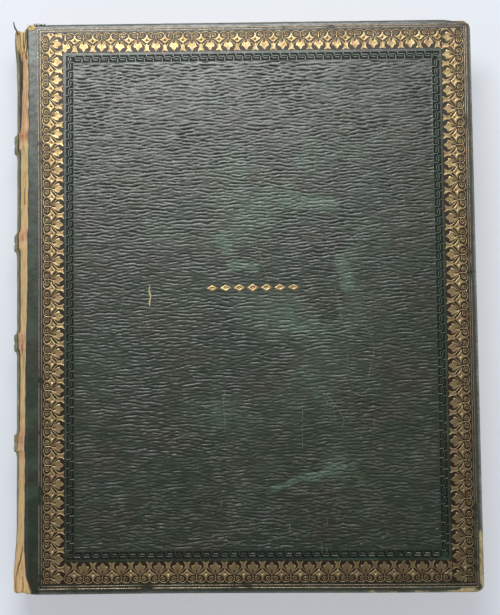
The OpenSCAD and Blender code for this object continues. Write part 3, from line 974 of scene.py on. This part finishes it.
def border_sides(outer, inner):
    """The tail, fore-edge, head and joint side of the border between two insets.

    Each has its start corner, direction, inward direction, length and width.
    """
    x0, x1, y0, y1 = rectangle(inner)
    w = inner - outer
    return [((x0, y0 - w[3]), (1, 0), (0, 1), x1 - x0, w[3]),
            ((x1 + w[1], y0), (0, 1), (-1, 0), y1 - y0, w[1]),
            ((x1, y1 + w[2]), (-1, 0), (0, -1), x1 - x0, w[2]),
            ((x0 - w[0], y1), (0, -1), (1, 0), y1 - y0, w[0])]


def shade_and_grime_on(grid):
    """Painted shade, with some dirt, at the foot of each stroke and in the dished middle of each leaf."""
    return np.interp(grid[..., 2], [-0.06, 0.07, 0.105, 0.12, 0.13], [1.0, 0.75, 0.6, 0.42, 0.05])


def roll_runs():
    """The four sides, each with its first star, its repeat, and how far it runs past its two corners."""
    width = ROLL_IN - ROLL_OUT
    tail, fore_edge, head, joint = border_sides(ROLL_OUT, ROLL_IN)
    return [(tail, 4.73, 9.376, 0, 0), (fore_edge, -2.85, 9.396, width[3], width[2]),
            (head, 1.75, 9.286, 0, 0), (joint, 0.0, 9.369, width[2], width[3])]


def add_motif(shape, grid, side, middle, stretch, low, high, closed=False):
    """Puts a grid of (s, t, z) on a side of the border, cut off square at the strip's two ends."""
    start, along, inward = (np.asarray(v, float) for v in side[:3])
    s = middle + grid[..., :1] * stretch[0]
    kept = np.clip(s, low, high)
    flat = start + kept * along + grid[..., 1:2] * stretch[1] * inward
    points = np.concatenate([flat, grid[..., 2:] + TOP - ROLL_DEPTH * 0.6], -1).reshape(-1, 3)
    faces = grid_faces(*grid.shape[:2], closed)
    faces = faces if closed else faces[:, ::-1]
    faces = faces[(s == kept).ravel()[faces].any(axis=1)]
    if len(faces):
        used = np.unique(faces)
        shape.add(points[used], np.searchsorted(used, faces), dirt=shade_and_grime_on(grid).ravel()[used])


def gilt_roll(side, turned):
    """The palmette roll: right down the joint and the fore-edge, and between those two at head and tail."""
    shape = Shape()
    half = right_half()
    flower = half + mirrored(half) + foot()
    between = half_fan() + mirrored(half_fan())
    star_grid = star()
    rng = np.random.default_rng(17)
    for strip, first, pitch, before, after in roll_runs():
        low, high = -before, strip[3] + after
        stretch = (pitch / MOTIF_W, strip[4] / MOTIF_H)
        for i in range(math.floor((low - first) / pitch) - 1, math.ceil((high - first) / pitch) + 1):
            middle = first + i * pitch
            for grid in between:
                add_motif(shape, grid, strip, middle, stretch, low, high)
            add_motif(shape, star_grid, strip, middle, stretch, low, high, closed=True)
            slip = (0.0, rng.normal(0, 0.05), 0.0)
            for grid in flower:
                add_motif(shape, grid + slip, strip, middle + 0.5 * pitch, stretch, low, high)
    shape.make(f"{side}_gilt_roll", f"{side}_cover", "gilt", GOLD,
               turned=turned, replaces=[f"{side}_gilt_border"])


def gilt_lines(side, turned):
    """The two gold lines outside the roll, as low rounded frames."""
    shape = Shape()
    section = [(0.0, -0.08), (0.16, 0.03), (0.84, 0.03), (1.0, -0.08)]
    for inset in (OUTER_LINE, INNER_LINE):
        loops = []
        for share, z in section:
            path = border_loop(inset + share * LINE_W, 120)
            wobble = 0.03 * noise(path[:, 0], path[:, 1], 9, 23)
            loops.append(np.hstack([path + wobble[:, None], np.full((len(path), 1), TOP + z)]))
        along_joint = smooth(-path[:, 0], 100, 103) * smooth(-path[:, 1], -110, -70)
        kept = np.maximum(smooth(-path[:, 1], 60, 140), along_joint)
        bright = (0.9 if inset is OUTER_LINE else 0.2) * kept
        # Painted shade with some dirt on the feet of each line; less where the line is bright
        dirt = np.array([1.0, 0.0, 0.0, 1.0])[:, None] - bright
        shape.add_grid(np.stack(loops), closed=True, dirt=dirt)
    shape.make(f"{side}_gilt_lines", f"{side}_cover", "gilt", LINE_GOLD, turned=turned)


def bar(start, end, width, top, foot):
    """A bevelled bar in plan coordinates, as points and faces."""
    start, end = np.asarray(start, float), np.asarray(end, float)
    run = (end - start) / np.linalg.norm(end - start)
    side = np.array([-run[1], run[0]])
    points = []
    for grow, z in ((0.56, foot), (0.46, top)):
        reach = width * grow
        first, last = start - run * reach, end + run * reach
        for end_point, hand in ((first, -1), (last, -1), (last, 1), (first, 1)):
            points.append([*(end_point + side * hand * reach), z])
    faces = [[4, 5, 6, 7], [0, 1, 5, 4], [1, 2, 6, 5], [2, 3, 7, 6], [3, 0, 4, 7]]
    return np.array(points), faces


def fret(side, turned):
    """The key pattern tooled without gold: hooked bars left standing in a sunk band."""
    shape = Shape()
    hook = [(0.0, 1.0), (0.0, 0.33), (0.75, 0.33), (0.75, 0.66), (0.25, 0.66)]
    bridge = [(0.78, -0.05), (0.78, 0.3)]
    rng = np.random.default_rng(19)
    for start, along, inward, length, width in border_sides(FRET_OUT, FRET_IN):
        start, along, inward = (np.array(v, float) for v in (start, along, inward))
        count = round(length / FRET_PITCH)
        pitch = length / count
        corner_hook = [start + along * (s - 0.9) * width + inward * t * width for s, t in hook]
        for a, b in zip(corner_hook[:-1], corner_hook[1:]):
            points, faces = bar(a, b, 0.6, TOP - 0.01, TOP - FRET_DEPTH)
            shape.add(points, faces, rounded=False, rub=0.3)
        for i in range(count):
            for line in (hook, bridge):
                corners = [start + along * (i + s) * pitch + inward * t * width for s, t in line]
                for a, b in zip(corners[:-1], corners[1:]):
                    points, faces = bar(a, b, 0.5, TOP - 0.01, TOP - FRET_DEPTH - 0.05)
                    from_head = float(smooth(-a[1], -60, 90))
                    # Painted glints: pale spots on some level bars, more toward the tail
                    glint = 0.6 * from_head * (abs(a[1] - b[1]) < 0.3) * rng.uniform(0, 1)
                    shape.add(points, faces, rounded=False, rub=0.6 - 0.5 * from_head, dusty=glint)
    shape.make(f"{side}_key_pattern", f"{side}_cover", "green_leather", LEATHER, turned=turned)


def gilt_ornament():
    """A row of faceted lozenges in the middle of the front, each with a smaller one sunk in it."""
    shape = Shape()
    count = 7
    pitch = ORNAMENT_W / count
    turn = np.radians(np.arange(0, 360, 15))
    flat = 1 / (np.abs(np.cos(turn)) + np.abs(np.sin(turn)))
    # Each ring's share of the lozenge, its height and the painted shade with some dirt on it
    share, height, dirt = np.array([
        (1.0, -0.1, 1.0), (0.86, 0.2, 0.0), (0.5, 0.2, 0.0), (0.4, 0.08, 0.7), (0.02, 0.2, 0.0)]).T[..., None]
    for i in range(count):
        off = i - (count - 1) / 2
        half_w, half_h = 0.48 * pitch, ORNAMENT_H / 2 * (1 - 0.25 * abs(off) / 3)
        x = ORNAMENT[0] + off * pitch + half_w * share * flat * np.cos(turn)
        y = ORNAMENT[1] + half_h * share * flat * np.sin(turn)
        grid = np.stack(np.broadcast_arrays(x, y, TOP + height), -1)
        shape.add_grid(grid, closed=True, dirt=dirt)
    shape.make("front_gilt_lozenges", "front_cover", "gilt", GOLD, replaces=["front_gilt_ornament"])


# The leather round the spine: w is the distance round it from the front joint, negative on the front cover

def wrap_point(w):
    """Place and outward direction of the leather's outside at w, in the (x, z) plane."""
    w = np.asarray(w, float)
    angle = HALF_ARC - np.clip(w, 0, SPINE_WIDTH) / SPINE_R
    on_front, on_back = np.minimum(w, 0), np.maximum(w - SPINE_WIDTH, 0)
    x = SPINE_X - SPINE_R * np.cos(angle) - on_front + on_back
    z = MID + SPINE_R * np.sin(angle)
    flat = (w < -0.2) | (w > SPINE_WIDTH + 0.2)
    out_x = np.where(flat, 0, -np.cos(angle))
    out_z = np.where(flat, np.sign(z - MID), np.sin(angle))
    return x, z, out_x, out_z


def band_rise(w, y):
    """How far the leather stands up over the raised bands."""
    angle = HALF_ARC - np.clip(w, 0, SPINE_WIDTH) / SPINE_R
    gap = BAND_X - SPINE_X
    full = -gap * np.cos(angle) + np.sqrt(BAND_R ** 2 - (gap * np.sin(angle)) ** 2) - SPINE_R
    rise = np.zeros(np.broadcast(w, y).shape)
    sunk = np.full(rise.shape, 0.4)
    for centre in BAND_YS:
        off = np.abs(y - centre)
        hump = smooth(off, BAND_W / 2 + 0.6, BAND_W / 2 + 0.05)
        rise = np.maximum(rise, hump - 0.3 * smooth(off, 1.0, 0.2))
        sunk = np.minimum(sunk, 0.4 * smooth(off, BAND_W / 2 + 0.6, BAND_W / 2 + 3.5))
    return rise * np.maximum(full, 0) - sunk * smooth(w, 1.5, 6) * smooth(SPINE_WIDTH - w, 1.5, 6)


def flare(w, y):
    """The torn ends of the spine stand away from the leaves."""
    middle = smooth(w, 2, 10) * smooth(SPINE_WIDTH - w, 2, 10)
    head = 0.35 * smooth(y, 112, 126) + 1.0 * smooth(y, 124, 142)
    tail = 0.5 * smooth(-y, 112, 126) + 1.0 * smooth(-y, 120, 138)
    return middle * (head + tail) * (0.8 + 0.3 * noise(w, y * 0, 6, 71))


def torn_ends(w, y):
    """How much of the leather is torn away at the head and tail of the spine."""
    head = np.interp(w, [-5.3, -0.6, 0.2, 3.4, 4.4, 8, 12, 16, 30],
                     [0, 0, 1.7, 1.9, 2.8, 1.7, 0.7, 0.3, 0.5])
    tail = np.interp(w, [-5.3, -2, 5, 8, 12, 17, 30], [0, 0.2, 1.0, 0.4, 0.5, 1.0, 0.6])
    jagged = 0.35 * rough_noise(w, np.sign(y) * 40, 1.4, 73) * (w > -0.3)
    return (head + jagged) * smooth(y, 128, 142) - (tail + jagged) * smooth(-y, 128, 142)


# Where the worn strip of the front joint begins and ends: y, then w on the cover's side and on the spine's
WORN_STRIP = np.array([
    (-145, -2.6, 24), (-143.5, -2.0, 24), (-139.5, -0.5, 22), (-135.5, 1.3, 19), (-129, 1.9, 16),
    (-123, 2.9, 14), (-98, 2.6, 11), (-67, 2.0, 9), (-36, 1.9, 8.4), (0, 0.3, 8.4), (25, 0.1, 8.2),
    (54, -0.3, 8.2), (88, -0.5, 8.2), (105, -0.5, 6.6), (126, -0.3, 6.3), (132, 0.2, 8.6),
    (140, 1.2, 14.5), (145, 1.6, 15.5)]).T
# The tone of the bare leather from straw (0) to tan (1): y, then the tone; it is deepest over the bands
TONES = np.array([
    (-145, 0.35), (-125, 0.25), (-110, 0.28), (-80, 0.25), (-68, 0.65), (-58, 0.25), (-26, 0.2),
    (-18, 0.65), (-10, 0.25), (28, 0.2), (35, 0.55), (42, 0.2), (82, 0.08), (87, 0.9), (92, 0.3),
    (100, 0.5), (112, 0.45), (128, 0.45), (135, 0.2), (145, 0.1)]).T


def joint_wear(w, y):
    """Wear along the front joint: through to tan, with ragged edges that widen at head and tail."""
    right = np.interp(y, WORN_STRIP[0], WORN_STRIP[1])
    left = np.interp(y, WORN_STRIP[0], WORN_STRIP[2])
    ragged = rough_noise(w * 1.6, y, 4.0, 81)
    inside = np.minimum(w - right, left - w) + 0.4 * ragged
    worn = 0.95 * smooth(inside, -0.35, 1.0) * (0.86 + 0.2 * noise(w, y, 7, 83))
    beyond = smooth(w, 9.2, 10.2) * smooth(w, 20, 17) * (0.46 + 0.1 * rough_noise(w, y, 6, 84))
    return np.clip(np.maximum(worn, beyond), 0, 1)


def back_wear(w, y):
    """The back joint is rubbed too, but less."""
    inside = 2.0 - np.abs(w - SPINE_WIDTH + 2.4) + 0.9 * rough_noise(w * 1.6, y, 5.0, 85)
    ends = smooth(np.abs(y), 118, 142)
    broken = smooth(rough_noise(w * 0, y, 18, 87), -0.5, 0.3)
    return np.clip(0.75 * smooth(inside + 1.2 * ends, 0.0, 2.0) * broken, 0, 1)


# Dark splits in the worn leather, their brown partly painted shade in the split: half width, then the (w, y)
# points that each one runs through
CRACKS = [
    (0.45, [(2.7, 143), (3.0, 139.5), (3.8, 136), (4.8, 133)]),
    (0.55, [(1.3, 136.5), (2.0, 133), (2.5, 130.4), (1.9, 128.5), (1.1, 127.4)]),
    (0.4, [(6.2, 132), (5.9, 128), (6.0, 122), (6.4, 112)]),
    (0.3, [(9.6, 136), (9.0, 128), (8.8, 120)]),
    (0.35, [(4.6, 144), (5.1, 138), (4.5, 131)]),
    (0.3, [(8.2, 144), (7.5, 137), (8.1, 129)]),
    (0.45, [(5.6, -122), (6.6, -126), (7.8, -129), (8.4, -132), (10.6, -136), (11.4, -140.5), (10.4, -145)]),
    (0.3, [(4.6, -137), (4.4, -141), (4.9, -145)]),
    (0.25, [(0.9, -137), (-0.6, -139.5), (-1.9, -143.5)]),
    (0.2, [(3.4, 60), (3.6, 52)]),
    (0.2, [(5.2, -20), (5.4, -32)]),
]


def cracks(w, y):
    """How deep the splits are at each place."""
    deep = np.zeros(np.broadcast(w, y).shape)
    wander = 0.3 * noise(w * 0, y, 3.0, 91)
    for half_width, line in CRACKS:
        near = line_distance(w + wander, y, line)
        deep = np.maximum(deep, smooth(near, half_width + 0.3, 0.4 * half_width))
    return deep


def wrap_leather(name, body, columns, step, blend=None, replaces=()):
    """A strip of the leather over the spine and joints, turned in at head and tail."""
    rows = [(HEAD - inset, depth) for inset, depth in EDGE]
    flat_end = HEAD - EDGE[-1][0]
    middle = [(y, 0.0) for y in np.arange(flat_end - step, -flat_end, -step)]
    rows = rows + middle + [(-y, depth) for y, depth in rows[::-1]]
    y = np.array([row[0] for row in rows])[:, None]
    depth = np.array([row[1] for row in rows])[:, None]
    w = np.array(columns, float)[None, :]
    x, z, out_x, out_z = wrap_point(w)
    on_cover = (w < -0.2) | (w > SPINE_WIDTH + 0.2)
    thick = np.where(on_cover, COVER_T, 1.0)
    worn = np.maximum(joint_wear(w, y), back_wear(w, y)) * (depth < 0.9)
    split = cracks(w, y) * (depth < 0.5)
    tone = np.interp(y, TONES[0], TONES[1]) + 0.2 * rough_noise(w * 3, y, 6, 93)
    out = band_rise(w, y) + flare(w, y) - depth * thick - 0.22 * worn - 0.3 * split
    out = out + 0.05 * noise(w, y, 5, 95) * ~on_cover
    points = np.stack(np.broadcast_arrays(x + out_x * out, y - torn_ends(w, y), z + out_z * out), -1)
    shape = Shape()
    # The spine's creases have no relief: only painted shade and a rougher, duller surface
    crease = 0.5 * smooth(rough_noise(w * 0.5, y, 2.4, 97), 0.35, 0.8) * ~on_cover * (worn < 0.2)
    rub = (0.25 + 0.35 * smooth(y, 40, 90)) * smooth(rough_noise(w * 0.8, y, 8, 99), 0.0, 0.6)
    shape.add_grid(points, worn=worn, crack=split, crease=crease, tone=np.clip(tone, 0, 1),
                   dull=0.75 * smooth(w, -0.3, 1.5), rub=rub)
    shape.make(name, body, "green_leather", LEATHER, blend=blend, replaces=replaces, thickness=0.4)


# How far round the spine the leather of a joint reaches, and two distances before and after the joint
STRIP_W = 9.0
START, END = 0.6, 0.35


def spine_and_joints():
    """Three strips: each joint's stays where it is drawn, on no body; the spine between them stays on the
    leaves.
    """
    on_cover = [OUTER_LINE[0], OUTER_LINE[0] - 0.08, 4.5, 3.7, 2.9, 2.1, 1.4, 0.8, 0.35]
    front = [-v for v in on_cover] + list(np.arange(0, STRIP_W + 0.01, 0.5))
    middle = np.linspace(STRIP_W, SPINE_WIDTH - STRIP_W, 26)
    back = [SPINE_WIDTH - v for v in front[::-1]]
    front_bend, back_bend = [[(x / MM, 0, z / MM) for x in (JOINT - START, JOINT + END)] for z in (TOP, 0)]
    wrap_leather("front_joint_leather", None, front, 0.6, ("book_block", "front_cover", *front_bend))
    wrap_leather("spine_back_leather", "book_block", middle, 0.8, replaces=["spine_leather"])
    wrap_leather("back_joint_leather", None, back, 0.6, ("book_block", "back_cover", *back_bend))


# Leaves, head and tail bands

def sewn_sections():
    """Each sewn section as separate leaves, cut a little unevenly, with gilt edges."""
    rng = np.random.default_rng(29)
    for i in range(1, 13):
        low, high = box(f"section_{i:02d}")
        count = 6
        pitch = (high[2] - low[2]) / count
        shape = Shape()
        for k in range(count):
            z0 = low[2] + k * pitch + 0.02
            add_leaf(shape, z0, z0 + pitch - 0.05, rng.uniform(0, 0.16, 3))
        shape.make(f"sewn_leaves_{i:02d}", "book_block", "leaf_paper", INNER_PAPER, EDGE_GOLD,
                   replaces=[f"section_{i:02d}"])


def add_leaf(shape, z0, z1, trims):
    """One leaf of the block: rounded at the back, hollowed at the fore-edge, gilt on its three cut edges."""
    z = (z0 + z1) / 2 - MID
    inside = math.sqrt(BLOCK_R ** 2 - z * z)
    x0, x1 = SPINE_X - inside + 0.02, HOLLOW_X - inside - trims[0]
    y0, y1 = -LEAF_END + trims[1], LEAF_END - trims[2]
    xs, ys = np.linspace(x0, x1, 9), np.linspace(y0, y1, 13)
    grid_y, grid_x = np.meshgrid(ys, xs, indexing="ij")
    for z, flip in ((z0, True), (z1, False)):
        shape.add_grid(np.stack([grid_x, grid_y, np.full(grid_x.shape, z)], -1), flip=flip)
    ring = np.array([(x, y0) for x in xs] + [(x1, y) for y in ys[1:]] + [(x, y1) for x in xs[::-1][1:]])
    wall = np.stack([np.hstack([ring, np.full((len(ring), 1), z)]) for z in (z0, z1)])
    shape.add_grid(wall, slot=1)
    back = np.stack([np.stack([np.full(len(ys), x0), ys[::-1], np.full(len(ys), z)], -1) for z in (z0, z1)])
    shape.add_grid(back)


def end_band(name, side):
    """Silk wound over a core that follows the round of the spine, with its foot on the leaves."""
    core_r = 1.5
    arc_r = BLOCK_R - core_r
    limit = math.asin((BLOCK_T / 2 - 0.1) / arc_r)
    turns, columns = 46, 18
    along = np.linspace(-limit, limit, turns * 6 + 1)[:, None]
    around = np.linspace(0, 2 * math.pi, columns, endpoint=False)[None, :]
    winding = (along + limit) / (2 * limit) * turns + around / (2 * math.pi)
    radius = core_r - 0.12 + 0.1 * np.abs(np.sin(winding * math.pi))
    out = arc_r + radius * np.cos(around)
    y = side * np.maximum(LEAF_END + core_r - 0.3 + radius * np.sin(around), LEAF_END + 0.02)
    points = np.stack(np.broadcast_arrays(SPINE_X - out * np.cos(along), y, MID + out * np.sin(along)), -1)
    shape = Shape()
    shape.add_grid(points, closed=True, flip=side > 0, stripe=np.floor(winding / 3) % 2)
    for row, flip in ((0, False), (-1, True)):
        end = points[row]
        faces = [[k, (k + 1) % columns, columns] for k in range(columns)]
        if flip == (side > 0):
            faces = [face[::-1] for face in faces]
        shape.add(np.vstack([end, end.mean(0)]), faces)
    shape.make(name + "_silk", "book_block", "silk", SILK, replaces=[name])


def add_mark(shape, line, widths, lift=TOP, height=0.02, foot=-0.2, **values):
    """A scratch, shred or fibre: a low ribbon along a line, lifted to where it lies."""
    grid = stroke(line, widths, height, foot)
    grid[..., 2] += lift
    shape.add_grid(grid, **values)


def torn_sliver():
    """A shred of leather that stands up from the torn head of the spine."""
    shape = Shape()
    line = curve([(JOINT - 6.4, 141.5), (JOINT - 6.9, 143.6), (JOINT - 7.9, 145.4), (JOINT - 8.5, 148.2)], 12)
    rise = np.linspace(0, 1, 12)[:, None]
    add_mark(shape, line, [1.0, 0.95, 0.9, 0.5], MID + 12.0 + 0.6 * rise, 0.3, -0.3, crack=0.55)
    shape.make("torn_leather_sliver", "book_block", "green_leather", LEATHER, thickness=0.3)


# Fibres on the frayed lump and along the edge beside it: distance from the joint, y, how pale they are
LUMP_FIBRES = (-0.4, 4.4), (141.8, 144.9), (0.5, 1.0)
EDGE_FIBRES = (3.6, 9.8), (143.9, 145.0), (0.1, 0.3)


def frayed_corner():
    """Frayed leather and board pulp at the head of the joint: a ragged lump with short fibres."""
    shape = Shape()
    turn = np.linspace(0, 2 * math.pi, 64, endpoint=False)[None, :]
    share = np.array([1.0, 0.93, 0.75, 0.5, 0.25, 0.02])[:, None]
    ragged = 1 + 0.2 * noise(turn * 2.2, 0 * turn, 1, 101) + 0.24 * noise(turn * 8, 0 * turn, 1, 102)
    reach_x = 2.3 + 0.5 * np.sin(turn)
    x = JOINT + 2.2 + reach_x * share * ragged * np.cos(turn) + 0.45 * np.sin(turn)
    y = 143.4 + 1.75 * share * ragged * np.sin(turn)
    rise = np.array([-0.4, 0.02, 0.2, 0.3, 0.34, 0.36])[:, None]
    z = TOP + rise + 0.25 * noise(x, y, 0.5, 103) * (share < 0.9) + 0 * x
    worn = np.clip(0.7 + 0.5 * noise(x, y, 0.8, 104), 0.2, 1) * np.where(share > 0.9, 0.5, 1)
    shape.add_grid(np.stack([x, y, z], -1), closed=True, worn=worn, tone=0.25 + 0.2 * noise(x, y, 1, 106))
    rng = np.random.default_rng(105)
    for _ in range(90):
        on_lump = rng.random() < 0.4
        from_joint, y_range, paleness = LUMP_FIBRES if on_lump else EDGE_FIBRES
        start = rng.uniform(*from_joint)
        root = np.array([JOINT + start, rng.uniform(*y_range)])
        lean = rng.uniform(-1, 1)
        length = rng.uniform(0.5, 1.2)
        tip, bend = length * np.array([lean, 0.8]), length * np.array([lean * 0.7, 0.4])
        line = curve([root, root + bend, root + tip], 5)
        lift = TOP + rng.uniform(-0.2, 0.3)
        pale = rng.uniform(*paleness)
        add_mark(shape, line, [0.22, 0.2, 0.06], lift, 0.06, -0.06, worn=pale, tone=0.25, dull=0.8)
    shape.make("frayed_head_corner", "front_cover", "green_leather", LEATHER)


# The points that each long scratch on the front runs through
SCRATCHES = [
    [(-9.6, -45), (-10.2, -52), (-9.4, -60), (-9.8, -66)], [(38, -44), (44, -50), (50, -59), (49, -64)],
    [(46.9, 7.7), (49, -3.5), (50.6, -10.9), (54.5, -16.2)], [(29.8, -49.7), (29.4, -60), (29.3, -73)],
    [(41, -50), (45, -54), (46, -60)], [(7, 32), (10, 20), (14, 6), (12, -8), (13, -16)],
    [(-30, 70), (-22, 66), (-14, 67)], [(62, -12), (66, -24), (63, -38)],
    [(20, -92), (34, -96), (46, -95)], [(-62, 20), (-60, 6), (-63, -8)],
    [(-38, -70), (-28, -66), (-20, -68)], [(70, 92), (76, 84), (84, 82)]]
# Nicks across the grain: x, y and length
NICKS = [(52.6, -30.1, 7.6), (65.2, -62.1, 5.6), (22.2, -112.9, 4.6), (40.9, -110.4, 3.2),
         (38.0, -122.4, 5.6), (-11.8, -100.8, 3.2), (40.6, -124.0, 1.6)]
# Bare specks: x and y
SPECKS = [(-3.1, -114.3), (6.5, -103.3), (17.0, -103.4), (68.9, -117.9), (71.2, -115.9), (95.7, -113.8),
          (79.4, -129.4), (77.9, -126.4), (81.4, -125.4), (24.8, -115.6), (97.6, -117.2), (-62.0, -118.0),
          (88.0, -104.0), (58.0, -121.0)]


def scratches():
    """Fine pale scratches and nicks across the grain of the front, and small bare specks."""
    shape = Shape()
    rng = np.random.default_rng(107)
    for x, y, length in NICKS:
        line = curve([(x, y + length / 2), (x + 0.15, y), (x - 0.1, y - length / 2)], 12)
        add_mark(shape, line, rng.uniform(0.15, 0.5, 7), worn=0.27, dusty=0.8, dull=0.2)
    for x, y in SPECKS:
        reach = rng.uniform(0.5, 1.0)
        line = [(x - reach, y), (x, y + 0.1), (x + reach, y)]
        add_mark(shape, line, [0.2, 0.6, 0.2], worn=rng.uniform(0.28, 0.38), dusty=0.5, dull=0.6)
    for points in SCRATCHES:
        widths = rng.uniform(0.14, 0.4, 9)
        worn = rng.uniform(0.24, 0.34)
        add_mark(shape, curve(points, 30), widths, worn=worn, dusty=0.7, dull=0.2)
    shape.make("front_scratches", "front_cover", "green_leather", LEATHER)


def scuff():
    """A shred lifted off the front, with the pale leather below it showing."""
    shape = Shape()
    line = curve([(-46.7, 9.6), (-47.2, 6.4), (-46.5, 3.6), (-47.1, 0.6), (-46.9, -1.6)], 16)
    add_mark(shape, line, [0.1, 0.8, 1.1, 0.7, 0.9, 0.15], height=0.05, worn=0.75)
    shape.make("front_scuff", "front_cover", "green_leather", LEATHER)


def dress_cad_nodes():
    """The CAD pieces that stay as they are get their finish."""
    finishes = {"raised_bands": MILLBOARD, "spine_hollow": DRAB, "spine_linen": LINEN, "sewing_cords": HEMP,
                "kettle_stitches": THREAD, "front_fold_guard": CAD_PAPER, "back_fold_guard": CAD_PAPER}
    for side in ("front", "back"):
        finishes.update({f"{side}_board": MILLBOARD, f"{side}_cord_slips": HEMP, f"{side}_pastedown": MARBLED,
                         f"{side}_flyleaf": MARBLED})
    for name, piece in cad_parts.items():
        material = finishes.get(name, CAD_PAPER if "_leaf_" in name else None)
        if material:
            piece.data.materials.clear()
            piece.data.materials.append(material)


# Floor, light and camera

# Places and sizes here are in metres
WINDOW_PLACE = (-0.08, 0.47, 0.79)
WINDOW_TARGET = (0, 0.05, 0.02)
WINDOW_SIZE = (0.5, 0.28)
WINDOW_POWER = 6.2
WINDOW_COLOUR = (0.99, 1.0, 0.99)
# How bright the room is
ROOM_SIDES, ROOM_ABOVE = 0.8, 0.04
# What the camera sees beyond the table, and how strongly the table glows to the camera alone
BACKGROUND = srgb(226, 230, 236)
TABLE_LIFT = 0.475
TABLE_HALF = 3.0
# Lower than the sunk bands of the back cover, so that its face shows when it lies open
TABLE_Z = -0.0006


def add_table():
    """A pale table top, with a glow for the camera alone that makes it as pale as the photo's background."""
    material, tree, shader = start_material("pale table", 0.6, Specular_IOR_Level=0.2)
    tone = grey(tree, place_of(tree, False), 6.0, 2.0)
    colour = mixed(tree, ranged(tree, tone, 0.3, 0.7), srgb(172, 175, 181), srgb(178, 181, 187))
    tree.links.new(colour, shader["Base Color"])
    shader["Emission Color"].default_value = BACKGROUND
    camera_ray = put(tree, "LightPath").outputs["Is Camera Ray"]
    tree.links.new(sums(tree, "MULTIPLY", camera_ray, TABLE_LIFT), shader["Emission Strength"])
    mesh = bpy.data.meshes.new("table_top")
    corners = [(x * TABLE_HALF, y * TABLE_HALF, TABLE_Z) for x, y in ((-1, -1), (1, -1), (1, 1), (-1, 1))]
    mesh.from_pydata(corners, [], [(0, 1, 2, 3)])
    mesh.materials.append(material)
    table = bpy.data.objects.new("table_top", mesh)
    bpy.context.scene.collection.objects.link(table)


def add_window():
    """A window beyond the head of the album, turned to the album's middle."""
    lamp = bpy.data.lights.new("window", "AREA")
    lamp.shape = "RECTANGLE"
    lamp.size, lamp.size_y = WINDOW_SIZE
    lamp.energy = WINDOW_POWER
    lamp.color = WINDOW_COLOUR
    window = bpy.data.objects.new("window", lamp)
    window.location = WINDOW_PLACE
    toward = Vector(WINDOW_TARGET) - window.location
    window.rotation_euler = toward.to_track_quat("-Z", "Y").to_euler()
    window.visible_camera = False
    bpy.context.scene.collection.objects.link(window)


def add_room():
    """A room that is bright at the sides and dim above, where the camera sees a plain background."""
    world = bpy.data.worlds.new("room")
    bpy.context.scene.world = world
    world.use_nodes = True
    tree = world.node_tree
    tree.nodes.clear()
    up = put(tree, "SeparateXYZ", {0: put(tree, "TexCoord").outputs["Generated"]}).outputs[2]
    strength = ranged(tree, up, 0.45, 0.93, ROOM_SIDES, ROOM_ABOVE)
    room = put(tree, "Background", {"Color": srgb(246, 250, 255), "Strength": strength})
    seen = put(tree, "Background", {"Color": BACKGROUND, "Strength": 1.0})
    camera_ray = put(tree, "LightPath").outputs["Is Camera Ray"]
    both = put(tree, "MixShader", {0: camera_ray, 1: room.outputs[0], 2: seen.outputs[0]})
    put(tree, "OutputWorld", {"Surface": both.outputs[0]})


# The camera looks down on the front cover from over its tail half
CAMERA_PLACE = (0.00791, -0.07808, TOP / MM + 0.8)
CAMERA_TURN = (5.387, 0.298, -0.720)
FOCAL_PIXELS = 1589.5
FRAME_LONG_SIDE = 615


def add_camera():
    """The camera of the photo, and colours as they are."""
    data = bpy.data.cameras.new("camera")
    data.sensor_width = 36
    data.lens = FOCAL_PIXELS * data.sensor_width / FRAME_LONG_SIDE
    data.clip_start, data.clip_end = 0.05, 20
    made = bpy.data.objects.new("camera", data)
    made.location = CAMERA_PLACE
    made.rotation_mode = "ZYX"
    made.rotation_euler = [math.radians(angle) for angle in CAMERA_TURN]
    bpy.context.scene.collection.objects.link(made)
    bpy.context.scene.camera = made
    bpy.context.scene.view_settings.view_transform = "Standard"


for side, turned in (("front", False), ("back", True)):
    leather_panel(side, turned)
    leather_margin(side, turned)
    gilt_roll(side, turned)
    gilt_lines(side, turned)
    fret(side, turned)
gilt_ornament()
spine_and_joints()
sewn_sections()
end_band("headband", 1)
end_band("tailband", -1)
torn_sliver()
frayed_corner()
scuff()
scratches()
dress_cad_nodes()
add_table()
add_window()
add_room()
add_camera()
